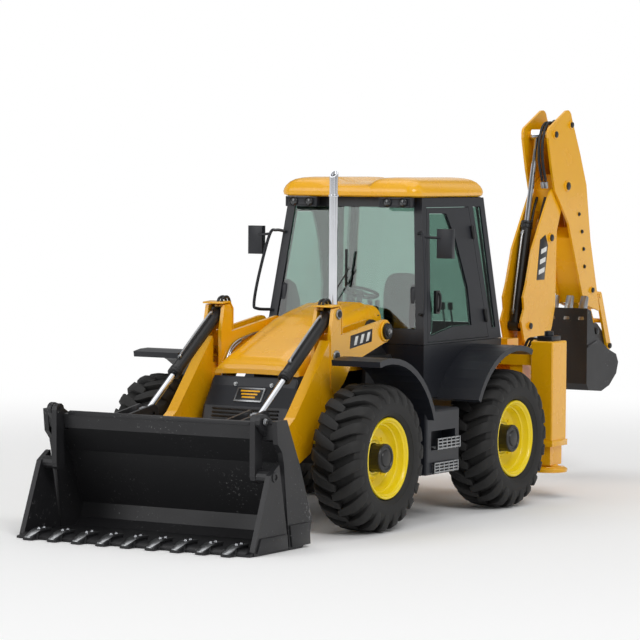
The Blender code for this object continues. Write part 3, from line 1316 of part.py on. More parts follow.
# ------------------------------------------------------------------ whole machine
def build():
    for item in list(bpy.data.objects):
        bpy.data.objects.remove(item, do_unlink=True)
    cutters = bpy.data.collections.new("cutters")
    bpy.context.scene.collection.children.link(cutters)

    yellow = finish("yellow_paint", (0.82, 0.50, 0.02), 0.35)
    rim_yellow = finish("rim_yellow", (0.90, 0.62, 0.01), 0.35)
    black = finish("black_plastic", (0.02, 0.022, 0.028), 0.5)
    frame_black = finish("frame_black", (0.025, 0.025, 0.027), 0.45)
    steel = finish("bucket_steel", (0.035, 0.035, 0.037), 0.5, 0.3)
    rubber = finish("tyre_rubber", (0.03, 0.03, 0.028), 0.85)
    glass = finish("tinted_glass", (0.12, 0.24, 0.20), 0.05, 0.0, 0.6)
    chrome = finish("chrome", (0.75, 0.75, 0.77), 0.12, 1.0)
    cloth = finish("seat_fabric", (0.03, 0.03, 0.033), 0.9)

    frame = chassis(frame_black)
    axle = front_axle(frame_black, frame)
    back_axle = rear_axle(frame_black, frame)
    for side in (-1, 1):
        hub = knuckle(side, frame_black, axle)
        wheel(side, FRONT_AXLE_Y, "front", rim_yellow, rubber, hub)
        wheel(side, 0, "rear", rim_yellow, rubber, back_axle)
        step_box(side, black, frame)
    hood(yellow, black, chrome, frame)

    tub = cab_base(black, frame)
    cage = cab_frame(black, tub)
    windows(glass, cage)
    for side in (-1, 1):
        door(side, black, glass, cage)
        mirror(side, black, cage)
    roof(yellow, cage)
    seat(cloth, tub)
    steering_wheel(black, tub)

    arms = loader_arms(yellow, frame)
    loader_rams(black, chrome, frame, arms)
    scoop = loader_bucket(steel, arms)
    bucket_jaw(steel, scoop)

    rear = rear_frame(yellow, frame)
    for side in (-1, 1):
        stabiliser(side, yellow, rear)
    backhoe(yellow, black, chrome, steel, rear)


build()
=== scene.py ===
"""Looks of the toy backhoe loader: finishes, rounded covers and small fittings on its CAD frame.

Places are millimetres from the rear axle line and the machine's centre plane, as in the part's
source; at() turns them into metres in the shared frame.
"""

import logging
import math
from dataclasses import dataclass
from enum import Enum
from typing import Callable, Iterable, Optional, Sequence

import bmesh
import bpy
from mathutils import Matrix, Vector


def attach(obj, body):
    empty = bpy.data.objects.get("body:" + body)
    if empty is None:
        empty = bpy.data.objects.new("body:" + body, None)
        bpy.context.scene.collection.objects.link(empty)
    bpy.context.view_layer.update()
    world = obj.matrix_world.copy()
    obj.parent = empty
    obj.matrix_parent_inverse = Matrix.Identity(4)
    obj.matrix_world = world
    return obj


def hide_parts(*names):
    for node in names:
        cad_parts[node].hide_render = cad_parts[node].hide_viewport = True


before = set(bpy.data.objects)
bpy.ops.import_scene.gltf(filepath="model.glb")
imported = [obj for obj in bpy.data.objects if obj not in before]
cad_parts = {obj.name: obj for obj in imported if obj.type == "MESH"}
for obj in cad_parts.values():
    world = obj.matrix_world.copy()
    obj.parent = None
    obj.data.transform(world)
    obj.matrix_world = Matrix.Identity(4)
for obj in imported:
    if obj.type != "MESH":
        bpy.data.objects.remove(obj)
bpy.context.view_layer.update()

log = logging.getLogger("backhoe_loader")
MM = 0.001
ORIGIN_Y = 26.5
Point = Sequence[float]
Outline = Sequence[Sequence[float]]


class Side(Enum):
    """The machine's two sides; the value is the sign of X."""

    LEFT = 1
    RIGHT = -1

    @property
    def label(self) -> str:
        """The word used in node and body names."""
        return self.name.lower()


class Axle(Enum):
    """The two axles; the value is the axle's place along Y in millimetres."""

    FRONT = -138.75
    REAR = 0.0

    @property
    def label(self) -> str:
        """The word used in node and body names."""
        return self.name.lower()


class Grain(Enum):
    """How a finish's surface was made, as the relief it leaves."""

    SPRAYED = "sprayed"
    MOULDED = "moulded"
    CAST = "cast"
    POLISHED = "polished"
    STITCHED = "stitched"


# ------------------------------------------------------------------ finishes
def linear(hex_colour: str) -> tuple[float, float, float, float]:
    """An sRGB hex colour as linear RGBA.

    Args:
        hex_colour: six hex digits.

    Returns:
        Red, green and blue in linear light, and 1 for alpha.
    """
    parts = [int(hex_colour[i:i + 2], 16) / 255 for i in (0, 2, 4)]
    return (*[c / 12.92 if c <= 0.04045 else ((c + 0.055) / 1.055) ** 2.4 for c in parts], 1.0)


def add_node(tree: bpy.types.NodeTree, kind: str, settings: Optional[dict] = None,
             values: Optional[dict] = None, links: Optional[dict] = None) -> bpy.types.Node:
    """Add one node with its settings, socket values and incoming links.

    Args:
        tree: the material's node tree.
        kind: the node's type, such as ShaderNodeTexNoise.
        settings: the node's own properties.
        values: constants for its input sockets, by name or number.
        links: output sockets that feed its input sockets.

    Returns:
        The new node.
    """
    made = tree.nodes.new(kind)
    for key, value in (settings or {}).items():
        setattr(made, key, value)
    for key, value in (values or {}).items():
        made.inputs[key].default_value = value
    for key, source in (links or {}).items():
        tree.links.new(source, made.inputs[key])
    return made


def per_mm(size: float) -> float:
    """A texture scale on metre coordinates whose features are size millimetres across."""
    return 1.0 / (size * MM)


@dataclass(frozen=True)
class Finish:
    """One surface: what it is made of, how it was made and how it has worn.

    Attributes:
        name: the material's name.
        colour: main sRGB colour.
        shade: second sRGB colour that the main one drifts towards.
        roughness: middle roughness.
        spread: how far roughness drifts either way.
        metallic: 1 for bare metal.
        ior: index of refraction, for what isn't metal.
        coat: weight of a clear top coat.
        transmission: how much light goes through.
        grain: how the surface was made.
        grain_mm: size of that relief.
        relief_mm: height of that relief.
        cloud_mm: size of the colour drift.
        wear: sRGB colour of scuffs, or nothing.
        wear_mm: size of one scuff.
        wear_level: noise level above which scuffs show.
    """

    name: str
    colour: str
    shade: str
    roughness: float
    spread: float = 0.05
    metallic: float = 0.0
    ior: float = 1.5
    coat: float = 0.0
    transmission: float = 0.0
    grain: Grain = Grain.MOULDED
    grain_mm: float = 0.5
    relief_mm: float = 0.02
    cloud_mm: float = 18.0
    wear: Optional[str] = None
    wear_mm: float = 1.2
    wear_level: float = 0.68

    def build(self) -> bpy.types.Material:
        """Make the material.

        Returns:
            A node material on the piece's own Object coordinates.
        """
        made = bpy.data.materials.new(self.name)
        made.use_nodes = True
        tree = made.node_tree
        shader = tree.nodes["Principled BSDF"]
        for socket, value in (("Metallic", self.metallic), ("Coat Weight", self.coat),
                              ("Transmission Weight", self.transmission)):
            shader.inputs[socket].default_value = value
        if self.metallic < 0.5:
            shader.inputs["IOR"].default_value = self.ior
        if self.coat:
            shader.inputs["Coat Roughness"].default_value = 0.06
        place = add_node(tree, "ShaderNodeTexCoord").outputs["Object"]
        cloud = add_node(tree, "ShaderNodeTexNoise", values={"Scale": per_mm(self.cloud_mm), "Detail": 4.0},
                         links={"Vector": place}).outputs["Fac"]
        colour = add_node(tree, "ShaderNodeMix", {"data_type": "RGBA"},
                          {6: linear(self.colour), 7: linear(self.shade)}, {0: cloud}).outputs[2]
        rough = add_node(tree, "ShaderNodeMapRange",
                         values={"To Min": self.roughness - self.spread,
                                 "To Max": self.roughness + self.spread},
                         links={"Value": cloud}).outputs[0]
        if self.wear:
            colour, rough = self.scuffed(tree, place, colour, rough)
        tree.links.new(colour, shader.inputs["Base Color"])
        tree.links.new(rough, shader.inputs["Roughness"])
        tree.links.new(self.relief(tree, place), shader.inputs["Normal"])
        return made

    def scuffed(self, tree: bpy.types.NodeTree, place: bpy.types.NodeSocket,
                colour: bpy.types.NodeSocket, rough: bpy.types.NodeSocket) -> tuple:
        """Lay scuffs over a colour and roughen them.

        Args:
            tree: the material's node tree.
            place: Object coordinates.
            colour: the colour under the scuffs.
            rough: the roughness under them.

        Returns:
            The colour and roughness with scuffs.
        """
        patch = add_node(tree, "ShaderNodeTexNoise", values={"Scale": per_mm(self.cloud_mm * 1.4)},
                         links={"Vector": place}).outputs["Fac"]
        speck = add_node(tree, "ShaderNodeTexNoise", values={"Scale": per_mm(self.wear_mm), "Detail": 8.0,
                         "Roughness": 0.72}, links={"Vector": place}).outputs["Fac"]
        both = add_node(tree, "ShaderNodeMath", {"operation": "MULTIPLY_ADD"}, {1: 0.28},
                        {0: patch, 2: speck}).outputs[0]
        mask = add_node(tree, "ShaderNodeMapRange", values={"From Min": self.wear_level,
                        "From Max": self.wear_level + 0.07, "To Max": 0.85}, links={"Value": both}).outputs[0]
        worn = add_node(tree, "ShaderNodeMix", {"data_type": "RGBA"}, {7: linear(self.wear)},
                        {0: mask, 6: colour}).outputs[2]
        dull = add_node(tree, "ShaderNodeMath", {"operation": "MULTIPLY_ADD", "use_clamp": True}, {1: 0.25},
                        {0: mask, 2: rough}).outputs[0]
        return worn, dull

    def relief(self, tree: bpy.types.NodeTree, place: bpy.types.NodeSocket) -> bpy.types.NodeSocket:
        """The bump that the making left.

        Args:
            tree: the material's node tree.
            place: Object coordinates.

        Returns:
            The normal output of a Bump node.
        """
        scale = per_mm(self.grain_mm)
        if self.grain is Grain.STITCHED:
            pores = add_node(tree, "ShaderNodeTexVoronoi", values={"Scale": scale}, links={"Vector": place})
            height = pores.outputs["Distance"]
        else:
            detail = 6.0 if self.grain is Grain.CAST else 2.0
            height = add_node(tree, "ShaderNodeTexNoise", values={"Scale": scale, "Detail": detail},
                              links={"Vector": place}).outputs["Fac"]
        strength = 0.25 if self.grain is Grain.POLISHED else 0.6
        return add_node(tree, "ShaderNodeBump", values={"Strength": strength,
                                                        "Distance": self.relief_mm * MM},
                        links={"Height": height}).outputs[0]


# Glossy sprayed enamel on die-cast zinc: deep yellow with a faint orange peel.
ENAMEL = Finish("yellow_enamel_on_zinc", "F4B60A", "EFAA05", 0.27, 0.04, coat=0.35, grain=Grain.SPRAYED,
                grain_mm=1.1, relief_mm=0.012)
# Wheel discs are moulded ABS in a cooler lemon, a little less glossy than the enamel.
LEMON_ABS = Finish("lemon_abs_moulding", "FADF12", "F5D408", 0.3, 0.04, coat=0.25, grain_mm=0.9,
                   relief_mm=0.01)
# Cab mouldings: satin navy-black ABS with a fine spark-eroded grain.
BLACK_ABS = Finish("satin_black_abs", "1B1E26", "14161C", 0.4, 0.07, grain_mm=0.45, relief_mm=0.016)
# Chassis, axles and hubs: plain black-painted zinc.
BLACK_ZINC = Finish("black_painted_zinc", "1B1B1D", "131314", 0.38, 0.06, grain=Grain.SPRAYED, grain_mm=0.8,
                    relief_mm=0.012)
# Buckets: dark cast zinc under thin paint, with pale scuffs rubbed through it.
BUCKET_ZINC = Finish("scuffed_cast_zinc", "2C2C2E", "202022", 0.42, 0.09, metallic=0.25, grain=Grain.CAST,
                     grain_mm=0.9, relief_mm=0.03, cloud_mm=24.0, wear="8C8C8C", wear_mm=1.5,
                     wear_level=0.775)
# Tyres: matt black PVC rubber with a dusty bloom.
RUBBER = Finish("black_pvc_rubber", "191919", "21201F", 0.7, 0.08, grain=Grain.CAST, grain_mm=0.7,
                relief_mm=0.03)
# Panes: thin blue-green tinted polystyrene.
PANE = Finish("green_tinted_polystyrene", "9FB9AF", "96B2A8", 0.04, 0.01, ior=1.59, transmission=1.0,
              grain=Grain.POLISHED, grain_mm=30.0, relief_mm=0.01, cloud_mm=60.0)
# Rods and exhaust: bright chrome plate.
CHROME = Finish("bright_chrome_plate", "DADCE0", "CFD1D6", 0.1, 0.03, metallic=1.0, grain=Grain.POLISHED,
                grain_mm=1.5, relief_mm=0.004)
# Bolts, unions, treads and teeth: nickel plate, softer than chrome.
NICKEL = Finish("satin_nickel_plate", "B4B6B8", "9A9C9E", 0.32, 0.08, metallic=1.0, grain=Grain.CAST,
                grain_mm=0.5, relief_mm=0.01, cloud_mm=5.0)
# Clevis bushes: yellow-passivated zinc.
BRASS = Finish("yellow_passivated_zinc", "C9A254", "B58B3C", 0.3, 0.07, metallic=1.0, grain=Grain.CAST,
               grain_mm=0.5, relief_mm=0.01, cloud_mm=4.0)
# Hoses: soft black vinyl.
VINYL = Finish("black_vinyl_hose", "1A1A1B", "131313", 0.5, 0.05, grain_mm=0.4, relief_mm=0.015)
# Seat: dark grey leather-look vinyl with a pebbled grain, drawn a little coarse so that it shows.
SEAT_VINYL = Finish("pebbled_grey_vinyl", "2E2F33", "25262A", 0.6, 0.06, grain=Grain.STITCHED, grain_mm=0.7,
                    relief_mm=0.05)
# Decals: semi-matt printed film.
DARK_FILM = Finish("black_printed_film", "18191B", "1D1E20", 0.35, 0.03, grain_mm=1.0, relief_mm=0.003)
PALE_FILM = Finish("white_printed_film", "EDEDEA", "E4E4E0", 0.35, 0.03, grain_mm=1.0, relief_mm=0.003)
# Lamp glasses: smoked clear moulding over a dark bowl.
SMOKED = Finish("smoked_lamp_moulding", "24272B", "1B1D20", 0.08, 0.02, coat=0.8, grain=Grain.POLISHED,
                grain_mm=1.0,
                relief_mm=0.01)
# Tail lamps: clear moulding over bright foil.
LENS = Finish("clear_lens_on_foil", "E9EEF0", "DDE4E6", 0.12, 0.03, metallic=0.6, coat=0.8, grain_mm=1.0,
              relief_mm=0.05)

_made: dict[str, bpy.types.Material] = {}


def material(finish: Finish) -> bpy.types.Material:
    """The one material of a finish, made when it is first asked for."""
    if finish.name not in _made:
        _made[finish.name] = finish.build()
    return _made[finish.name]


# ------------------------------------------------------------------ modelling
def at(x: float, y: float, z: float) -> Vector:
    """A place in the machine's millimetres as metres in the shared frame."""
    return Vector((x, y + ORIGIN_Y, z)) * MM


def clear_selection() -> None:
    """Leave edit mode and deselect everything."""
    if bpy.context.object and bpy.context.object.mode != "OBJECT":
        bpy.ops.object.mode_set(mode="OBJECT")
    bpy.ops.object.select_all(action="DESELECT")


def activate(*items: bpy.types.Object) -> None:
    """Select these objects only, the first of them active."""
    clear_selection()
    for item in items:
        item.select_set(True)
    bpy.context.view_layer.objects.active = items[0]


def claim(name: str) -> bpy.types.Object:
    """Name the primitive just added and put its place into its mesh."""
    item = bpy.context.object
    item.name = name
    item.data.name = name
    bpy.ops.object.transform_apply(location=True, rotation=True, scale=True)
    return item


def pick(item: bpy.types.Object, test: Callable[[bpy.types.MeshPolygon], bool]) -> None:
    """Enter edit mode with only the faces that pass a test selected.

    Args:
        item: the mesh object.
        test: says whether a face is wanted.
    """
    activate(item)
    bpy.context.tool_settings.mesh_select_mode = (False, False, True)
    mesh = item.data
    mesh.vertices.foreach_set("select", [False] * len(mesh.vertices))
    mesh.edges.foreach_set("select", [False] * len(mesh.edges))
    for face in mesh.polygons:
        face.select = test(face)
    bpy.ops.object.mode_set(mode="EDIT")


def outwards(item: bpy.types.Object) -> bpy.types.Object:
    """Merge doubles and turn every face of a closed mesh outwards."""
    pick(item, lambda face: True)
    bpy.ops.mesh.remove_doubles(threshold=1e-6)
    bpy.ops.mesh.normals_make_consistent(inside=False)
    bpy.ops.object.mode_set(mode="OBJECT")
    return item


def apply_modifier(item: bpy.types.Object, kind: str, **settings) -> bpy.types.Object:
    """Add a modifier with its settings and apply it."""
    activate(item)
    step = item.modifiers.new(kind.lower(), kind)
    for key, value in settings.items():
        setattr(step, key, value)
    bpy.ops.object.modifier_apply(modifier=step.name)
    return item


def soften(item: bpy.types.Object, width: float, segments: int = 2, angle: float = 35.0) -> bpy.types.Object:
    """Round a piece's sharp edges and shade it smooth.

    Args:
        item: the piece.
        width: bevel width in millimetres, or 0 for none.
        segments: faces across a bevel.
        angle: edges sharper than this are rounded.

    Returns:
        The same piece.
    """
    if width:
        apply_modifier(item, "BEVEL", width=width * MM, segments=segments, limit_method="ANGLE",
                       angle_limit=math.radians(angle))
    activate(item)
    bpy.ops.object.shade_smooth_by_angle(angle=math.radians(angle))
    return item


def rod(name: str, start: Point, end: Point, radius: float, crown: float = 0.0, sides: int = 28,
        edge: float = 0.15, end_radius: Optional[float] = None) -> bpy.types.Object:
    """A turned pin or disc between two places, its ends inset and crowned or dished.

    Args:
        name: the piece's name.
        start: one end, in millimetres.
        end: the other end.
        radius: radius at the start.
        crown: how far the ends stand proud, or are sunk if negative.
        sides: faces round it.
        edge: bevel on its edges.
        end_radius: radius at the end, where it tapers.

    Returns:
        The piece.
    """
    a, b = at(*start), at(*end)
    heading = (b - a).normalized()
    clear_selection()
    bpy.ops.mesh.primitive_cone_add(
        vertices=sides, radius1=radius * MM, radius2=(end_radius or radius) * MM, depth=(b - a).length,
        location=(a + b) / 2, rotation=heading.to_track_quat("Z", "Y").to_euler())
    item = claim(name)
    pick(item, lambda face: abs(face.normal.dot(heading)) > 0.98)
    small = min(radius, end_radius or radius)
    bpy.ops.mesh.inset(thickness=small * 0.3 * MM, depth=0, use_individual=True)
    bpy.ops.mesh.inset(thickness=small * 0.12 * MM, depth=crown * MM, use_individual=True)
    bpy.ops.object.mode_set(mode="OBJECT")
    return soften(item, edge)


def slab(name: str, low: Point, high: Point, edge: float = 0.4,
         panel: Optional[tuple[Point, float, float]] = None) -> bpy.types.Object:
    """A moulded block with rounded edges and, if asked, one sunk or raised face.

    Args:
        name: the piece's name.
        low: lowest corner in millimetres.
        high: highest corner.
        edge: bevel on its edges.
        panel: the face's direction, the margin round the panel, and how far it stands proud.

    Returns:
        The piece.
    """
    a, b = at(*low), at(*high)
    clear_selection()
    bpy.ops.mesh.primitive_cube_add(size=1.0, location=(a + b) / 2)
    bpy.context.object.scale = [abs(q - p) for p, q in zip(a, b)]
    item = claim(name)
    direction, margin, proud = panel or ((0, 0, 1), edge * 1.5, 0.05)
    pick(item, lambda face: face.normal.dot(Vector(direction)) > 0.9)
    bpy.ops.mesh.inset(thickness=margin * MM, depth=0)
    bpy.ops.mesh.inset(thickness=abs(proud) * 0.4 * MM, depth=proud * MM)
    bpy.ops.object.mode_set(mode="OBJECT")
    return soften(item, edge)


def prism(name: str, outline: Outline, x0: float, x1: float, edge: float = 0.3) -> bpy.types.Object:
    """A side-view outline of (y, z) places pulled out between two X places.

    Args:
        name: the piece's name.
        outline: corners in order.
        x0: one face's place.
        x1: the other's.
        edge: bevel on its edges.

    Returns:
        The piece.
    """
    clear_selection()
    bpy.ops.mesh.primitive_circle_add(vertices=len(outline), radius=1.0, fill_type="NGON")
    item = claim(name)
    for corner, (y, z) in zip(item.data.vertices, outline):
        corner.co = at(x0, y, z)
    pick(item, lambda face: True)
    bpy.ops.mesh.extrude_region_move(TRANSFORM_OT_translate={"value": ((x1 - x0) * MM, 0, 0)})
    bpy.ops.object.mode_set(mode="OBJECT")
    return soften(outwards(item), edge)


def loft(name: str, rings: Sequence[Sequence[Point]], edge: float = 0.0) -> bpy.types.Object:
    """A closed skin over rings of places, extruded ring by ring.

    Args:
        name: the piece's name.
        rings: rings of the same number of places, in millimetres.
        edge: bevel on sharp edges.

    Returns:
        The piece.
    """
    clear_selection()
    bpy.ops.mesh.primitive_circle_add(vertices=len(rings[0]), radius=1.0, fill_type="NGON")
    item = claim(name)
    for corner, place in zip(item.data.vertices, rings[0]):
        corner.co = at(*place)
    pick(item, lambda face: True)
    for before, after in zip(rings, rings[1:]):
        bpy.ops.mesh.extrude_region_move()
        work = bmesh.from_edit_mesh(item.data)
        old = [at(*place) for place in before]
        for corner in [v for v in work.verts if v.select]:
            nearest = min(range(len(old)), key=lambda i: (old[i] - corner.co).length_squared)
            corner.co = at(*after[nearest])
        bmesh.update_edit_mesh(item.data)
    bpy.ops.object.mode_set(mode="OBJECT")
    return soften(outwards(item), edge)


def lathe(name: str, section: Outline, centre: Point, steps: int = 64, facing: Point = (1, 0, 0),
          edge: float = 0.0) -> bpy.types.Object:
    """A ring spun about an axis through its centre.

    Args:
        name: the piece's name.
        section: closed loop of (distance along the axis, radius) in millimetres.
        centre: the axis's middle place.
        steps: faces round it.
        facing: the axis's direction.
        edge: bevel on sharp edges.

    Returns:
        The piece.
    """
    middle = at(*centre)
    axis = Vector(facing).normalized()
    across = axis.orthogonal().normalized()
    clear_selection()
    bpy.ops.mesh.primitive_circle_add(vertices=len(section), radius=1.0)
    item = claim(name)
    for corner, (along, radius) in zip(item.data.vertices, section):
        corner.co = middle + axis * (along * MM) + across * (radius * MM)
    bpy.context.tool_settings.mesh_select_mode = (True, False, False)
    activate(item)
    bpy.ops.object.mode_set(mode="EDIT")
    bpy.ops.mesh.select_all(action="SELECT")
    bpy.ops.mesh.spin(steps=steps, angle=math.tau, center=middle, axis=axis)
    bpy.ops.object.mode_set(mode="OBJECT")
    return soften(outwards(item), edge, angle=28.0)


def smooth_path(points: Sequence[Point], between: int = 6) -> list[Vector]:
    """A Catmull-Rom path through a few places, in metres.

    Args:
        points: places in millimetres.
        between: steps from one place to the next.

    Returns:
        The path's points.
    """
    p = [at(*point) for point in points]
    p = [p[0] * 2 - p[1], *p, p[-1] * 2 - p[-2]]
    path = []
    for a, b, c, d in zip(p, p[1:], p[2:], p[3:]):
        for k in range(between):
            t = k / between
            path.append(((b * 2) + (c - a) * t + (a * 2 - b * 5 + c * 4 - d) * t * t
                         + (b * 3 - a - c * 3 + d) * t ** 3) / 2)
    return [*path, p[-2]]


def pipe(name: str, points: Sequence[Point], radius: float) -> bpy.types.Object:
    """A moulded pipe or fixed hose line along a smooth path.

    Args:
        name: the piece's name.
        points: places that it passes, in millimetres.
        radius: its radius.

    Returns:
        The piece.
    """
    path = smooth_path(points)
    clear_selection()
    bpy.ops.curve.primitive_nurbs_path_add()
    item = bpy.context.object
    item.name = name
    line = item.data
    line.splines.clear()
    spline = line.splines.new("POLY")
    spline.points.add(len(path) - 1)
    for spot, place in zip(spline.points, path):
        spot.co = (*place, 1.0)
    line.bevel_depth = radius * MM
    line.bevel_resolution = 3
    line.use_fill_caps = True
    bpy.ops.object.convert(target="MESH")
    return soften(outwards(claim(name)), 0.0)


def copy_of(item: bpy.types.Object, move: Matrix) -> bpy.types.Object:
    """A copy of a finished piece with its own mesh, moved by a matrix."""
    mesh = item.data.copy()
    mesh.transform(move)
    if move.determinant() < 0:
        mesh.flip_normals()
    twin = bpy.data.objects.new(item.name, mesh)
    bpy.context.scene.collection.objects.link(twin)
    return twin


def merge(name: str, items: Iterable[bpy.types.Object]) -> bpy.types.Object:
    """Join pieces of one finish into one object."""
    items = list(items)
    activate(*items)
    if len(items) > 1:
        bpy.ops.object.join()
    items[0].name = name
    items[0].data.name = name
    return items[0]


def fit(item: bpy.types.Object, body: str, finish: Finish, slot: str, *stands_for: str) -> bpy.types.Object:
    """Give a finished piece its material and body, and hide the CAD nodes that it replaces.

    Args:
        item: the piece.
        body: the CAD body that it moves with.
        finish: its finish.
        slot: the record's material slot; not used.
        stands_for: CAD nodes that it replaces.

    Returns:
        The same piece.
    """
    item.data.materials.clear()
    item.data.materials.append(material(finish))
    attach(item, body)
    if stands_for:
        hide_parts(*stands_for)
    log.info("%s rides on %s", item.name, body)
    return item


def bolt(name: str, place: Point, facing: Point, radius: float, height: float) -> bpy.types.Object:
    """A hexagon bolt head on a round washer."""
    away = Vector(facing).normalized()
    base, washer_top = Vector(place) - away * 0.1, Vector(place) + away * height * 0.35
    washer = rod(name + "_washer", base, washer_top, radius * 1.3, sides=20, edge=0.08)
    head = rod(name, washer_top - away * 0.05, Vector(place) + away * height, radius, -0.08, 6, 0.08)
    return merge(name, [head, washer])


# ------------------------------------------------------------------ finishes of the CAD nodes
@dataclass
class Frame:
    """The CAD nodes that stay as they are, and the finish each of them gets."""

    enamel: tuple[str, ...] = ("loader_arms", "rear_frame", "left_stabiliser_leg", "right_stabiliser_leg",
                               "backhoe_carriage", "kingpost", "boom", "dipper", "tipping_lever",
                               "tipping_link")
    black: tuple[str, ...] = ("left_step_and_fender", "right_step_and_fender", "front_grille", "cab_base",
                              "cab_frame", "left_door", "right_door")
    zinc: tuple[str, ...] = ("chassis_frame", "front_axle", "rear_axle", "left_steering_knuckle",
                             "right_steering_knuckle")
    bucket: tuple[str, ...] = ("loader_bucket", "bucket_jaw", "rear_bucket")
    panes: tuple[str, ...] = ("windscreen", "rear_window", "left_quarter_glass", "right_quarter_glass",
                              "left_door_glass", "right_door_glass")

    def dress(self) -> None:
        """Give the listed CAD nodes, the ram barrels and rods, and the exhaust stack their finishes."""
        groups = ((self.enamel, ENAMEL), (self.black, BLACK_ABS), (self.zinc, BLACK_ZINC),
                  (self.bucket, BUCKET_ZINC), (self.panes, PANE))
        for names, finish in groups:
            for name in names:
                self.paint(name, finish)
        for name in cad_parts:
            if name.endswith("_ram_barrel"):
                self.paint(name, BLACK_ZINC)
            elif name.endswith("_ram_rod") or name in ("exhaust_stack",):
                self.paint(name, CHROME)

    def paint(self, name: str, finish: Finish) -> None:
        """Assign one finish to one CAD node."""
        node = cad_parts[name]
        node.data.materials.clear()
        node.data.materials.append(material(finish))


